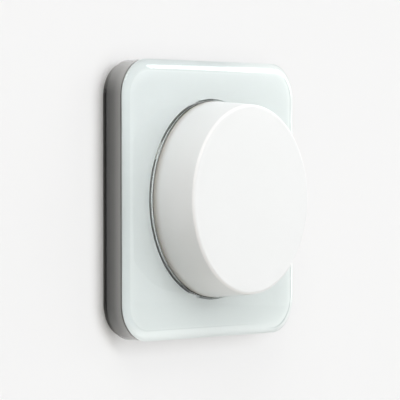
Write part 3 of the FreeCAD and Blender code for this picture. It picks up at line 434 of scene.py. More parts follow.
def circuit_board():
    finish = Finish("circuit_board")
    upright = finish.node(
        "ShaderNodeMapping", {}, {"Vector": finish.place(), "Rotation": (math.radians(90), 0, 0)})
    grid = finish.node(
        "ShaderNodeTexBrick",
        {"offset": track_row_offset, "squash": track_squash,
         "squash_frequency": track_squashed_row},
        {"Vector": upright, "Scale": 1.0, "Mortar Size": track_gap,
         "Mortar Smooth": track_softness, "Brick Width": track_length,
         "Row Height": track_pitch}, "Fac")
    tracks = grid * finish.rise(finish.noise(track_patch_size, detail=1.0), *track_where)
    dots = finish.fall(finish.cells(solder_pitch, "Distance"), *solder_dot)
    lacquer = finish.blend(finish.noise(lacquer_cloud_size), *lacquer_greens)
    green = finish.blend(tracks * track_share, lacquer, track_green)
    return finish.ends_in(finish.shader(
        base_color=finish.blend(dots, green, solder_grey),
        metallic=dots, roughness=board_roughness - dots * solder_smoother,
        normal=finish.bump(tracks + dots, solder_depth)))


def zinced_sheet():
    finish = Finish("zinced_sheet")
    crystal = finish.node(
        "ShaderNodeRGBToBW", {}, {"Color": finish.cells(zinc_crystal_size, "Color")})
    streaks = finish.noise(zinc_streak_size, detail=4.0, stretch=zinc_streak_stretch)
    return finish.ends_in(finish.shader(
        base_color=finish.blend(
            crystal * zinc_crystal_share + streaks * zinc_streak_share, *zinc_greys),
        metallic=1.0,
        roughness=finish.sway(
            zinc_roughness + crystal * zinc_crystal_rougher, (streaks, streak_sway)),
        normal=finish.bump(streaks, metal_grain_depth, strength=0.4)))


def capacitor_can():
    finish = Finish("capacitor_can")
    can_low, can_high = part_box("bulk_capacitor")
    middle, radius = (can_low.z + can_high.z) / 2, (can_high.z - can_low.z) / 2
    stripe = finish.rise(finish.along("Z"), *(middle + share * radius for share in stripe_edge))
    grain = finish.noise(sleeve_grain_size, detail=2.0)
    return finish.ends_in(finish.shader(
        base_color=finish.blend(stripe, sleeve_blue, stripe_grey),
        roughness=finish.sway(sleeve_roughness, (grain, sleeve_sway)),
        normal=finish.bump(grain, satin_depth)))


for make in (circuit_board, zinced_sheet, capacitor_can):
    finishes[make.__name__] = make()
print("with the patterned ones:", len(finishes))

# %% [markdown]
# ## Glass
# The pane is clear glass with a faint green cast. A see-through mix would render faster, but
# only real transmission bends the light in the bevelled edge, so the main shader lets all light
# through, with the index of common glass.

# %% Clear glass
glass_tint = (0.94, 0.988, 0.972, 1)
glass_index = 1.5


def clear_glass():
    finish = Finish("clear_glass")
    return finish.ends_in(finish.shader(
        base_color=glass_tint, roughness=0.0, ior=glass_index, transmission_weight=1.0))


finishes["clear_glass"] = clear_glass()
print("with the glass:", len(finishes))

# %% [markdown]
# ## The film behind the glass
# The film is white with a breath of teal, and painted light makes it a little paler towards its
# lower right. Along its margin, which shows in the bevel of the glass, runs a painted band of
# light and shade that is wider on the left: painted shade, pale grey, there, and painted light,
# almost white, at the bottom and on the right. Near the edge, except along the left, painted
# light whitens the film as well. A thin grey line ends the band, faint on the left, and on the
# far right a second one runs along the very edge. These lines could be thin pieces of their
# own, but they are no more than light and shade that gather in the edge, so soft steps over
# the distance from the edge paint them.

# %% Film
glass_low, glass_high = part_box("glass_plate")
glass_side = glass_high.x - glass_low.x
glass_corner = 0.011
# The widths and tones below paint light and shade along the film's edge.
left_band = 0.0028
right_band = 0.0017
band_fade = 0.0003
line_rise = 0.00025
line_width = 0.0003
outer_line_ends = (0.0003, 0.0007)
right_part = (0.0, 0.03)
far_right_part = (0.026, 0.036)
low_part = (0.034, 0.039)
painted_glow_in = (0.0018, 0.0042)
painted_glow_right_of = (-0.0385, -0.031)
left_line_share = 0.25
right_line_share = 0.95
painted_line_grey = (0.62, 0.66, 0.65)
painted_slope_share, film_cloud_share = 0.8, 0.3
film_cloud_size = 0.02
film_whites = ((0.848, 0.868, 0.878), (0.935, 0.957, 0.946))
left_painted_shade_grey = (0.80, 0.825, 0.83)
painted_light_white = (0.985, 0.995, 0.99)


def white_film():
    finish = Finish("white_film")
    across, height = finish.along("X"), finish.along("Z")
    inside = 0.0 - finish.out_from_edge(glass_side / 2, glass_corner)
    right = finish.rise(across, *right_part)
    far_right = finish.rise(across, *far_right_part)
    low = finish.rise(0.0 - height, *low_part)

    # Painted light: the film gets paler towards its lower right.
    slope = (across - height) / glass_side * 0.5 + 0.5
    cloud = finish.noise(film_cloud_size, detail=2.0)
    middle = finish.blend(slope * painted_slope_share + cloud * film_cloud_share, *film_whites)
    # Painted light: the film is whitened near its edge, except along the left.
    painted_glow = finish.fall(inside, *painted_glow_in) * finish.rise(across, *painted_glow_right_of)
    middle = finish.blend(painted_glow, middle, painted_light_white)

    def line(start):
        return finish.rise(inside, start, start + line_rise) * finish.fall(
            inside, start + line_width, start + 2 * line_width)

    # Painted shade and light in the band: pale grey on the left, almost white on the right and at
    # the bottom.
    edge = finish.blend(finish.maths("MAXIMUM", right, low), left_painted_shade_grey, painted_light_white)
    band = (
        finish.fall(inside, left_band, left_band + band_fade) * (1 - right)
        + finish.fall(inside, right_band, right_band + band_fade) * right)
    outer_line = finish.fall(inside, *outer_line_ends)
    # Painted grey lines of shade along the inner end of the band and the far right edge.
    lines = (
        line(left_band) * (1 - right) * left_line_share
        + (line(right_band) + outer_line) * far_right * right_line_share)
    return finish.ends_in(finish.shader(
        base_color=finish.blend(lines, finish.blend(band, middle, edge), painted_line_grey),
        roughness=0.5))


finishes["white_film"] = white_film()
print("with the film:", len(finishes))

# %% [markdown]
# ## The carrier
# The carrier is a satin grey moulding, whose colour carries painted shade and light. Behind the
# glass runs a painted dark slit, then its side falls in painted shade from light grey towards
# the wall, and its set-back plinth is painted almost black as shade, with a lighter foot on the
# wall. Each zone could have a finish of its own, but the moulding is one piece, so a ramp over
# its depth paints the shade. The table gives a grey for each depth, in metres from the wall.
# Painted light makes the side paler towards the top and the bottom of the frame.

# %% Carrier
carrier_depth = 0.0078
carrier_warmth = 0.97
# Painted shade and light: a grey for each depth.
carrier_painted_shade_greys = (
    (-0.0078, 0.02), (-0.00755, 0.02), (-0.0075, 0.265), (-0.0066, 0.225),
    (-0.0047, 0.108), (-0.0024, 0.045), (-0.0021, 0.038), (-0.00205, 0.003),
    (-0.0009, 0.003), (-0.0005, 0.05), (0.0, 0.15))
# Painted light towards the top and the bottom of the frame.
carrier_painted_light = (0.55, 0.55, 0.54)
carrier_grain_size = 0.0002
carrier_roughness = 0.24
carrier_sway = 0.08
carrier_coat = 0.7
plinth_front = -0.0020
coat_fade = 0.0002
painted_light_ends = (0.030, 0.041)
painted_light_top_share, painted_light_bottom_share = 0.6, 0.3


def grey_carrier():
    finish = Finish("grey_carrier")
    fine = finish.noise(carrier_grain_size, detail=2.0)
    # The ramp's stops paint shade and light over the depth.
    stops = [
        (depth / carrier_depth + 1, (grey, grey, grey * carrier_warmth))
        for depth, grey in carrier_painted_shade_greys]
    painted_shade_by_depth = finish.node(
        "ShaderNodeValToRGB", {"stops": stops}, {"Fac": finish.along("Y") / carrier_depth + 1})
    height = finish.along("Z")
    # Painted light: paler towards the top and the bottom.
    paler = (
        finish.rise(height, *painted_light_ends) * painted_light_top_share
        + finish.rise(0.0 - height, *painted_light_ends) * painted_light_bottom_share)
    return finish.ends_in(finish.shader(
        base_color=finish.blend(paler, painted_shade_by_depth, carrier_painted_light),
        metallic=0.2, roughness=finish.sway(carrier_roughness, (fine, carrier_sway)),
        coat_weight=finish.fall(
            finish.along("Y"), plinth_front - coat_fade, plinth_front) * carrier_coat,
        coat_roughness=0.12,
        normal=finish.bump(fine, satin_depth, strength=0.4)))


finishes["grey_carrier"] = grey_carrier()
print("with the carrier:", len(finishes))

# %% [markdown]
# ## The cover and the knob
# The white cover lies in the knob's shade. Only the rim that lines the hole of the glass is
# seen from outside, and painted shade makes it darker towards the bottom and the top. The knob
# is white, with a painted brown shade at its foot, where the side meets the glass, and a
# painted highlight, a light band, round the front edge. One plain white could serve for both,
# but then the knob would seem to float, so soft steps over depth and radius lay the painted
# shade and highlight in.

# %% Cover and knob
white_grain = 0.00018
cover_white = (0.82, 0.83, 0.82)
cover_roughness = 0.3
cover_rim = (0.0283, 0.0287)
# Painted shade on the rim, from grey to almost black.
rim_painted_shade_greys = ((0.34, 0.345, 0.34), (0.05, 0.045, 0.04))
cover_low_shade = (0.002, 0.02)
cover_high_shade = (0.02, 0.027)
high_shade_share = 0.6
knob_whites = ((0.815, 0.83, 0.835), (0.823, 0.838, 0.843))
knob_roughness = 0.36
knob_sway = 0.1
# Painted shade at the knob's foot.
foot_painted_shade = (0.36, 0.32, 0.27)
foot_shade_share = 0.75
# Painted highlight round the front edge.
edge_painted_highlight = (0.92, 0.925, 0.925)
knob_foot = (-0.0132, -0.0100)
knob_edge_out = (0.0272, 0.0276)
knob_edge_forward = (0.0232, 0.0235)


def white_cover():
    finish = Finish("white_cover")
    fine = finish.noise(white_grain, detail=2.0)
    height = finish.along("Z")
    # Painted shade: the rim is darker towards the bottom and the top.
    deep = (
        finish.rise(0.0 - height, *cover_low_shade)
        + finish.rise(height, *cover_high_shade) * high_shade_share)
    shaded = finish.blend(deep, *rim_painted_shade_greys)
    return finish.ends_in(finish.shader(
        base_color=finish.blend(
            finish.rise(finish.from_axis(), *cover_rim), cover_white, shaded),
        roughness=finish.sway(cover_roughness, (fine, fine_sway))))


def white_knob():
    finish = Finish("white_knob")
    fine = finish.noise(white_grain, detail=2.0)
    slow = finish.noise(plastic_cloud_size)
    depth = finish.along("Y")
    white = finish.blend(slow, *knob_whites)
    # Painted shade: brown towards the foot.
    foot = finish.rise(depth, *knob_foot)
    shaded = finish.blend(foot * foot * foot_shade_share, white, foot_painted_shade)
    # Painted highlight: a light band round the front edge.
    edge = finish.rise(finish.from_axis(), *knob_edge_out) * finish.rise(
        0.0 - depth, *knob_edge_forward)
    return finish.ends_in(finish.shader(
        base_color=finish.blend(edge, shaded, edge_painted_highlight),
        roughness=finish.sway(knob_roughness, (fine, knob_sway)),
        normal=finish.bump(fine, satin_depth)))


finishes["white_cover"] = white_cover()
finishes["white_knob"] = white_knob()
print("all finishes:", len(finishes))

# %% [markdown]
# ## Dressing the solids
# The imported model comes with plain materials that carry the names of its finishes. Each solid
# could be dressed by its own line, but the names already say which finish it wears, so one loop
# changes them all.

# %% Dress the solids
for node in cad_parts.values():
    for place in node.material_slots:
        place.material = finishes[place.material.name.split(".")[0]]
print("dressed solids:", len(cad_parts))

# %% [markdown]
# ## Modelling by steps
# A few pieces are modelled anew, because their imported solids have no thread, no windings and no
# soft edges. They could be built point by point in code, but steps made with operators are the
# ones that a hand would take. An operator works on what is selected, so each piece starts with
# nothing else selected. When it is ready it gets a name and a finish, takes the place of its
# solid, and rides on the solid's body.

# %% Tools for new pieces
def start_piece():
    """Lets go of everything, so that the next step acts on the new piece alone."""
    bpy.ops.object.select_all(action="DESELECT")


def pick(*pieces):
    """Selects these pieces alone and makes the first one the active one."""
    start_piece()
    for piece in pieces:
        piece.select_set(True)
    bpy.context.view_layer.objects.active = pieces[0]


def object_mode():
    bpy.ops.object.mode_set(mode="OBJECT")


def edit_mode():
    bpy.ops.object.mode_set(mode="EDIT")
    bpy.ops.mesh.select_all(action="SELECT")


def set_place():
    """Writes the place, turn and scale of what is picked into its points."""
    bpy.ops.object.transform_apply(location=True, rotation=True, scale=True)


def face_outwards():
    """Turns all faces of the piece in edit mode outwards."""
    bpy.ops.mesh.select_all(action="SELECT")
    bpy.ops.mesh.normals_make_consistent(inside=False)


def copies(piece, count):
    """The piece and its copies, each with a mesh of its own."""
    made = [piece]
    while len(made) < count:
        pick(piece)
        bpy.ops.object.duplicate()
        made.append(bpy.context.object)
    return made


def fan_out(pieces, start, angle):
    """Turns each piece about the knob's axis by one more share of the angle."""
    for n, piece in enumerate(pieces):
        piece.rotation_euler = (0, start + angle * n / len(pieces), 0)
    pick(*pieces)
    set_place()


def end_piece(piece, name, finish, body, *stands_for):
    """Names the finished piece, gives it its finish and hangs it on its body."""
    pick(piece)
    set_place()
    piece.name = name
    piece.data.name = name
    piece.data.materials.clear()
    piece.data.materials.append(finishes[finish])
    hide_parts(*stands_for)
    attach(piece, body)
    spans = [
        in_mm(end(point.co[axis] for point in piece.data.vertices) for end in (min, max))
        for axis in range(3)]
    print(name, "faces:", len(piece.data.polygons), "spans in mm:", spans)


print("a finished piece goes through", end_piece.__name__)

# %% [markdown]
# ## Slabs, rings and blocks
# The switch is made of flat panes, turned bodies and straight ribs, so three kinds of body are
# enough: a slab with round corners whose edges are inset step by step, a round body pulled ring
# by ring along the knob's axis, and a block. A round body could also be spun from its outline,
# but pulled rings keep each radius and each place in sight. A Boolean modifier joins one body
# to another or cuts it out. Round sides are then shaded smooth, and faces that look straight
# forward or back stay flat.

# %% Bodies
facing_front = (math.pi / 2, 0, 0)
straight_on = 0.9999


def rounded_slab(side, corner, front, back, front_edge, back_edge):
    """A square slab with round corners. Each edge is a list of steps: how far in, how far out."""
    start_piece()
    front_flat = front + sum(rise for inset, rise in front_edge)
    back_flat = back - sum(rise for inset, rise in back_edge)
    bpy.ops.mesh.primitive_plane_add(
        size=side, location=(0, front_flat, 0), rotation=facing_front)
    set_place()
    edit_mode()
    bpy.ops.mesh.bevel(offset=corner, segments=24, affect="VERTICES")
    bpy.ops.mesh.select_all(action="SELECT")
    bpy.ops.mesh.extrude_region_move(
        TRANSFORM_OT_translate={"value": (0, back_flat - front_flat, 0)})
    face_outwards()
    for steps, outward in ((front_edge, -1), (back_edge, 1)):
        bpy.ops.mesh.select_all(action="DESELECT")
        object_mode()
        faces = bpy.context.object.data.polygons
        big_face = max(
            faces, key=lambda face: outward * face.center.y + (len(face.vertices) > 4))
        big_face.select = True
        bpy.ops.object.mode_set(mode="EDIT")
        for inset, rise in steps:
            bpy.ops.mesh.inset(thickness=inset, depth=rise)
    object_mode()
    return bpy.context.object


def arc_steps(radius, first, last, steps):
    """Steps along an arc from one slope to another in degrees, 90 being square to the slab."""
    slopes = [math.radians(first + (last - first) * n / steps) for n in range(steps + 1)]
    return [
        (radius * (math.sin(now) - math.sin(after)), radius * (math.cos(after) - math.cos(now)))
        for now, after in zip(slopes, slopes[1:])]


def rings(profile, sides=192):
    """A closed round body whose outline is pulled ring by ring along the knob's axis."""
    start_piece()
    radius, place = profile[0]
    bpy.ops.mesh.primitive_circle_add(
        vertices=sides, radius=radius, fill_type="NGON", location=(0, place, 0),
        rotation=facing_front)
    set_place()
    edit_mode()
    for next_radius, next_place in profile[1:]:
        bpy.ops.mesh.extrude_region_move(
            TRANSFORM_OT_translate={"value": (0, next_place - place, 0)})
        share = next_radius / radius
        bpy.ops.transform.resize(value=(share, 1, share))
        radius, place = next_radius, next_place
    face_outwards()
    object_mode()
    return bpy.context.object


def block(low, high):
    """A block between two corners, to be joined to a piece or cut out of it."""
    start_piece()
    bpy.ops.mesh.primitive_cube_add(size=1)
    made = bpy.context.object
    made.scale = [b - a for a, b in zip(low, high)]
    made.location = [(a + b) / 2 for a, b in zip(low, high)]
    set_place()
    return made


def combine(piece, other, operation):
    """Joins another body to the piece or cuts it out, and throws the other one away."""
    pick(piece)
    boolean = piece.modifiers.new(operation, "BOOLEAN")
    boolean.operation = operation
    boolean.solver = "EXACT"
    boolean.object = other
    bpy.ops.object.modifier_apply(modifier=boolean.name)
    bpy.data.objects.remove(other)


def join_on(piece, addition):
    combine(piece, addition, "UNION")


def cut(piece, cutter):
    combine(piece, cutter, "DIFFERENCE")


def smooth_rounds(piece, angle=35):
    """Smooth shading on what is round, while faces square to the room stay flat."""
    pick(piece)
    edit_mode()
    face_outwards()
    object_mode()
    bpy.ops.object.shade_smooth_by_angle(angle=math.radians(angle))
    for face in piece.data.polygons:
        if abs(face.normal.y) > straight_on:
            face.use_smooth = False


print("bodies are made by", ", ".join(make.__name__ for make in (rounded_slab, rings, block)))

# %% [markdown]
# ## The glass pane
# The pane is cut from float glass. Its front edge has a tiny round, then a bevel that leans
# back at 34 degrees, and a soft round leads from the bevel to the flat of the front. Each part
# of that edge mirrors another part of the room, which draws bright lines round the pane,
# together with the painted light and the painted lines on the film behind it. A Bevel modifier
# could round the edge, but with one slope all round, so the front is inset step by step
# instead, as far in and as far out as each part goes. The hole is cut last.

# %% Glass pane
glass_front = glass_low.y
glass_into_film = 0.00005
glass_back = glass_high.y + glass_into_film
glass_edge_round = 0.0003
glass_bevel_slope = 34
glass_bevel_width = 0.0013
glass_bevel_rise = glass_bevel_width * math.tan(math.radians(glass_bevel_slope))
glass_soft_round = 0.0026
glass_arris = 0.00025
glass_hole = 0.02935
hole_arris = 0.0001
hole_sides = 512
beyond = 0.001

pane = rounded_slab(
    glass_side, glass_corner, glass_front, glass_back,
    [*arc_steps(glass_edge_round, 90, glass_bevel_slope, steps=4),
     (glass_bevel_width, glass_bevel_rise),
     *arc_steps(glass_soft_round, glass_bevel_slope, 0, steps=10)],
    arc_steps(glass_arris, 90, 0, steps=2))
cut(pane, rings([
    (glass_hole + hole_arris + beyond, glass_front - beyond),
    (glass_hole, glass_front + hole_arris),
    (glass_hole, glass_back + beyond),
], hole_sides))
smooth_rounds(pane)
end_piece(pane, "glass_pane", "clear_glass", "mechanism", "glass_plate")

# %% [markdown]
# ## The film's own sheet
# The film is a thin slab of the same outline behind the pane. It could be a colour on the back
# of the glass, but then its margin beside the hole would be missing, so it is a sheet of its
# own. Its hole is a little wider than the hole in the glass, so that its cut edge doesn't show.

# %% Film behind the pane
film_low, film_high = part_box("bonding_film")
film_inset = glass_high.x - film_high.x
film_past_hole = 0.00045
film_hole = glass_hole + film_past_hole

film = rounded_slab(
    film_high.x - film_low.x, glass_corner - film_inset, film_low.y, film_high.y, [], [])
cut(film, rings([
    (film_hole, film_low.y - beyond),
    (film_hole, film_high.y + beyond),
], hole_sides))
smooth_rounds(film)
end_piece(film, "backing_film", "white_film", "mechanism", "bonding_film")

# %% [markdown]
# ## The knob
# The knob is one hollow moulding. Its side leans in a little so that it leaves the tool, its
# foot almost fills the hole in the glass and steps in behind it, and inside, six low ribs run
# from a split hub to its side. A solid cylinder would do for the front, but the hollow shows
# between knob and glass, so the outline is pulled ring by ring, outside and inside. Then the
# hub is joined on, one rib is copied round it, and the bore and the slots are cut.

# %% Knob
knob_low, knob_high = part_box("knob_shell")
clip_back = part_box("knob_clip")[1].y
shaft_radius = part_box("encoder_shaft")[1].x
knob_front_radius = 0.028
knob_edge_round = 0.0009
knob_foot_radius = 0.0291
knob_foot_back = -0.01
knob_foot_arris = 0.0001
knob_back_radius = 0.0284
knob_inner_radius = 0.0262
knob_ceiling = knob_low.y + 0.0022
hub_radius = 0.0062
hub_back = clip_back + 0.0018
hub_slot_width = 0.001
hub_slot_length = 0.006
rib_count = 6
rib_width = 0.0012
rib_height = 0.003
rib_into_hub = 0.0005
into_next = 0.0001

knob_edge = [
    (knob_front_radius - knob_edge_round * (1 - math.cos(turn)),
     knob_low.y + knob_edge_round * (1 - math.sin(turn)))
    for turn in (math.radians(angle) for angle in range(0, 91, 10))]
knob = rings([
    (knob_inner_radius, knob_ceiling),
    (knob_inner_radius, knob_high.y),
    (knob_back_radius, knob_high.y),
    (knob_back_radius, knob_foot_back),
    (knob_foot_radius - knob_foot_arris, knob_foot_back),
    (knob_foot_radius, knob_foot_back - knob_foot_arris),
    *knob_edge])
join_on(knob, rings([(hub_radius, knob_ceiling - into_next), (hub_radius, hub_back)], sides=64))
ribs = copies(block(
    (hub_radius - rib_into_hub, knob_ceiling - into_next, -rib_width / 2),
    (knob_inner_radius + into_next, knob_ceiling + rib_height, rib_width / 2)), rib_count)
fan_out(ribs, 0, 2 * math.pi)
for rib in ribs:
    join_on(knob, rib)
cut(knob, rings([(shaft_radius, knob_ceiling), (shaft_radius, hub_back + beyond)], sides=48))
slot_half, slot_reach = hub_slot_width / 2, hub_radius + beyond
for half_width, half_height in ((slot_reach, slot_half), (slot_half, slot_reach)):
    cut(knob, block(
        (-half_width, hub_back - hub_slot_length, -half_height),
        (half_width, hub_back + beyond, half_height)))
smooth_rounds(knob)
end_piece(knob, "knob_moulding", "white_knob", "knob", "knob_shell")

# %% [markdown]
# ## The snap dome
# Under the spindle a thin steel dome clicks when the knob is pushed. Half a sphere would be far
# too deep: the dome is a shallow cap pressed from sheet, so it is pulled ring by ring along an
# arc, out along its underside and back along its top. It can't slide with the spindle, so it
# rides on the mechanism's body.

# %% Snap dome
dome_low, dome_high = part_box("switch_dome")
dome_radius = (dome_high.x - dome_low.x) / 2
dome_rise = dome_high.y - dome_low.y
dome_sheet = 0.0002

dome_turns = [math.radians(angle) for angle in range(15, 91, 15)]
dome_arc = [(math.sin(turn), 1 - math.cos(turn)) for turn in dome_turns]
dome_top = [
    (dome_radius * out, dome_low.y + (dome_rise - dome_sheet) * drop) for out, drop in dome_arc]
dome_under = [
    ((dome_radius - dome_sheet) * out, dome_low.y + dome_sheet + (dome_rise - dome_sheet) * drop)
    for out, drop in dome_arc]
dome = rings([*dome_under, (dome_radius, dome_high.y), *reversed(dome_top)], sides=48)
smooth_rounds(dome, angle=40)
end_piece(dome, "snap_dome", "spring_steel", "mechanism", "switch_dome")
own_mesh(dome)
print("dome rise in mm:", in_mm([dome_rise]))

# %% [markdown]
# ## The claw screws
# Each claw is driven by a machine screw with a real thread. A bump could hint at the thread,
# but its outline shows when the claws come out. So a small triangle is swept by a Screw
# modifier, one pitch for each turn, and laid as a ridge on the screw's core. The body is turned
# ring by ring, with a domed head that gets a cross recess. Both screws are alike, so the second
# one is a copy.

# %% Claw screws
thread_pitch = 0.0005
thread_ridge = 0.42 * thread_pitch
thread_core = 0.00122
thread_crest = 0.0015
screw_head_back = -0.001
screw_head_edge = 0.0007
screw_head_round = 0.0002
screw_lead_in = 0.0004
cross_reach = 0.0016
cross_depth = 0.0012
cross_width = 0.0007


def thread(length):
    """A ridge of triangular section wound from the screw's head towards its tip."""
    start_piece()
    bpy.ops.mesh.primitive_circle_add(
        vertices=3, radius=thread_ridge, rotation=(0, 0, math.radians(-90)),
        location=(thread_crest - thread_ridge, screw_head_back, 0))
    ridge = bpy.context.object
    set_place()
    wind = ridge.modifiers.new("wind", "SCREW")
    wind.axis = "Y"
    wind.steps = wind.render_steps = 24
    wind.screw_offset = thread_pitch
    wind.iterations = int(length / thread_pitch) - 1
    bpy.ops.object.modifier_apply(modifier=wind.name)
    edit_mode()
    bpy.ops.mesh.remove_doubles(threshold=1e-7)
    bpy.ops.mesh.fill_holes(sides=4)
    bpy.ops.mesh.normals_make_consistent(inside=False)
    object_mode()
    return ridge


def claw_screw(low, high):
    """A screw on the knob's axis, as wide and as deep as the box between the two corners."""
    head_radius = (high.x - low.x) / 2
    ridge = thread(high.y - screw_head_back - screw_lead_in)
    body = rings([
        (head_radius - screw_head_edge, low.y),
        (head_radius - screw_head_round, low.y + screw_head_edge * 0.5),
        (head_radius, low.y + screw_head_edge),
        (head_radius, screw_head_back),
        (thread_core, screw_head_back),
        (thread_core, high.y - screw_lead_in),
        (thread_core - screw_lead_in, high.y)], sides=48)
    slot_half = cross_width / 2
    for half_width, half_height in ((cross_reach, slot_half), (slot_half, cross_reach)):
        cut(body, block(
            (-half_width, low.y - beyond, -half_height),
            (half_width, low.y + cross_depth, half_height)))
    smooth_rounds(body, angle=40)
    pick(body, ridge)
    bpy.ops.object.join()
    return body


screws = copies(claw_screw(*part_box("claw_screw_right")), 2)
for side, screw in zip(("right", "left"), screws):
    low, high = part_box(f"claw_screw_{side}")
    screw.location = ((low.x + high.x) / 2, 0, (low.z + high.z) / 2)
    end_piece(
        screw, f"threaded_screw_{side}", "zinced_screw", f"screw_{side}", f"claw_screw_{side}")

# %% [markdown]
# ## The choke winding
# The choke that keeps the dimmer quiet is a ferrite ring wound with enamelled copper wire. One
# long spiral could be bent round it, but a winder lays turn beside turn, so one turn is swept
# round the ring's section, along its straights and round its corners, and the others are copies
# turned about the ring's axis.

# %% Choke winding
wire_radius = 0.00034
wire_corner = 0.0006
wire_turns = 21
wound_angle = math.radians(300)
wound_start = math.radians(120)
core_bore = 0.0034
core_low, core_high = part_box("choke_core")
wound_low, wound_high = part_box("choke_winding")
core_middle = (core_low + core_high) / 2
wire_lift = (core_low.y - wound_low.y) / 2
section_inner = core_bore - wire_lift
section_outer = (core_high.x - core_low.x) / 2 + wire_lift
section_front = wound_low.y + wire_lift
section_back = wound_high.y - wire_lift


def wire_turn():
    """One closed turn of wire round the section of a ring that stands on the knob's axis."""
    inner, outer = section_inner + wire_corner, section_outer - wire_corner
    front, back = section_front + wire_corner, section_back - wire_corner
    start_piece()
    bpy.ops.mesh.primitive_circle_add(
        vertices=8, radius=wire_radius, location=(section_inner, front, 0), rotation=facing_front)
    set_place()
    edit_mode()
    for step, centre in (
            ((0, back - front, 0), (inner, back, 0)), ((outer - inner, 0, 0), (outer, back, 0)),
            ((0, front - back, 0), (outer, front, 0)), ((inner - outer, 0, 0), (inner, front, 0))):
        bpy.ops.mesh.extrude_region_move(TRANSFORM_OT_translate={"value": step})
        bpy.ops.mesh.spin(steps=4, angle=math.pi / 2, center=centre, axis=(0, 0, 1))
    bpy.ops.mesh.select_all(action="SELECT")
    bpy.ops.mesh.remove_doubles(threshold=1e-6)
    bpy.ops.mesh.normals_make_consistent(inside=False)
    object_mode()
    return bpy.context.object


turns = copies(wire_turn(), wire_turns)
fan_out(turns, wound_start + wound_angle / wire_turns / 2, wound_angle)
bpy.ops.object.join()
winding = bpy.context.object
winding.location = (core_middle.x, 0, core_middle.z)
set_place()
bpy.ops.object.shade_smooth_by_angle(angle=math.radians(60))
end_piece(winding, "choke_wire", "copper_wire", "mechanism", "choke_winding")

# %% [markdown]
# ## The wall and the floor
# A studio shot of a switch shows a clean pale wall with only a thin shadow beside the frame.
# The wall and the floor are two plain planes. Bare paint could be lit until it is white, but
# then the object would be lit too brightly as well. So what the camera and the glass see of
# them is mostly an even pale tone, and the rest is real paint, so that the object still leaves
# its shadow. The floor returns less light than it shows, because in a studio the floor under
# the object is far away.

# %% Wall and floor
wall_gap = 0.00005
wall_side = 6
floor_height = -0.25
floor_side = 8
shown_tone = 0.93
floor_even = 0.8
wall_even_least = 0.05
wall_even_more = 0.67
wall_right_share = 0.7
wall_white = (0.9, 0.9, 0.9)
floor_grey = (0.52, 0.503, 0.465)
shadow_width = 0.006
shadow_reach = 0.011


def studio_surface(name, paint, even_share):
    """Paint that the lamps light, with an even tone mixed in for the rays that look at it."""
    finish = Finish(name)
    lit = finish.shader(base_color=(*paint, 1), roughness=0.9)
    even = finish.node(
        "ShaderNodeEmission", {}, {"Color": (shown_tone, shown_tone, shown_tone, 1)})
    front = finish.node(
        "ShaderNodeMixShader", {}, {0: finish.looked_at() * even_share(finish), 1: lit, 2: even})
    nothing = finish.node("ShaderNodeBsdfTransparent")
    behind = finish.node("ShaderNodeNewGeometry", output="Backfacing")
    return finish.ends_in(finish.node(
        "ShaderNodeMixShader", {}, {0: behind, 1: front, 2: nothing}))


def wall_share(finish):
    """Beside the frame's left the wall shows its real shadow, elsewhere mostly an even tone."""
    out = finish.rise(finish.out_from_edge(glass_side / 2, glass_corner), 0.0, shadow_width)
    right = finish.rise(finish.along("X"), glass_low.x, glass_low.x + shadow_reach)
    return wall_even_least + wall_even_more * finish.maths(
        "MAXIMUM", out, right * wall_right_share)


def floor_share(finish):
    """The floor is even all over."""
    return floor_even


def studio_plane(name, side, place, turn, surface):
    """A square plane of the studio, which is not part of the object."""
    start_piece()
    bpy.ops.mesh.primitive_plane_add(size=side, location=place, rotation=turn)
    set_place()
    plane = bpy.context.object
    plane.name = name
    plane.data.materials.append(surface)
    return plane


wall = studio_plane(
    "wall", wall_side, (0, wall_gap, 0), facing_front,
    studio_surface("wall_paint", wall_white, wall_share))
floor = studio_plane(
    "floor", floor_side, (0, 0, floor_height), (0, 0, 0),
    studio_surface("floor_paint", floor_grey, floor_share))
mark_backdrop(wall, floor)
print("stage:", wall.name, floor.name)

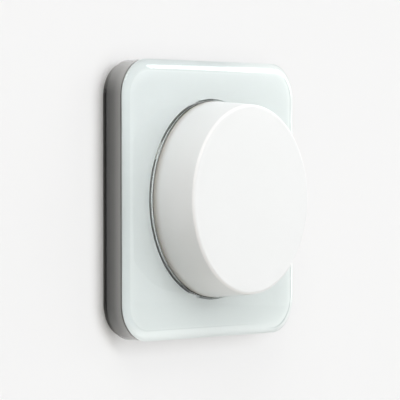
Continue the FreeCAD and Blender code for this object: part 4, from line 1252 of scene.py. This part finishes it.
# %% [markdown]
# ## The lamps
# Five softboxes light the switch. A front one lights the knob's face, but isn't mirrored in the
# glass. One from the upper left lights the side that the camera sees, one overhead brightens
# the top, and one on the right, with a low strip beside it, gives the glass its bright edges.
# Small lamps would be simpler, but they leave hard shadows and dots on the glass. Together the
# five add up to a plain level, at which a colour shows as it is written.

# %% Lamps
lamp_distance = 3.0
lamp_side = 1.6


def softbox(name, azimuth, elevation, power, tint=(1, 1, 1), width=lamp_side, height=lamp_side):
    """An area lamp so many degrees to the right and up, with its power in watts."""
    lamp = stand_off(
        name, bpy.data.lights.new(name, "AREA"), Vector(), azimuth, elevation, lamp_distance)
    lamp.data.shape = "RECTANGLE"
    lamp.data.size = width
    lamp.data.size_y = height
    lamp.data.energy = power
    lamp.data.color = tint
    return lamp


lamps = {lamp.name: lamp for lamp in (
    softbox("front", 5, 8, 34.1, tint=(0.98, 0.995, 1.03)),
    softbox("upper_left", -45, 50, 38.8, tint=(1.0, 0.985, 0.955)),
    softbox("overhead", 0, 75, 14.5),
    softbox("right", 65, 18, 31.0),
    softbox("low_right", 64, -1.2, 3.0, width=0.8, height=0.3),
)}
lamps["front"].visible_glossy = False
print("lamps in watts:", {name: lamp.data.energy for name, lamp in lamps.items()})

# %% [markdown]
# ## The sky
# The room all around is white to the rays that look at it, in the glass as well. A sky that
# shone as brightly would wash out the shadows, so it sheds only a tenth of that light on the
# object, and the lamps alone draw the shadows.

# %% World
sky_shown = 1.0
sky_light = 0.1

sky = Finish("studio", world=True)
strength = sky.node(
    "ShaderNodeMapRange", {}, {"Value": sky.looked_at(), "To Min": sky_light, "To Max": sky_shown})
bpy.context.scene.world = sky.ends_in(sky.node(
    "ShaderNodeBackground", {}, {"Color": (1, 1, 1, 1), "Strength": strength}))
print("sky strength when seen and as light:", sky_shown, sky_light)

# %% [markdown]
# ## Last checks
# The colours are shown plainly, without a film look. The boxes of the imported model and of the
# dressed one are written down side by side, because the dressing may change every surface, but
# not the size.

# %% Size and finish
bpy.context.scene.view_settings.view_transform = "Standard"
new_low, new_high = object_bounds()
print("visual box in mm:", in_mm(new_high - new_low))
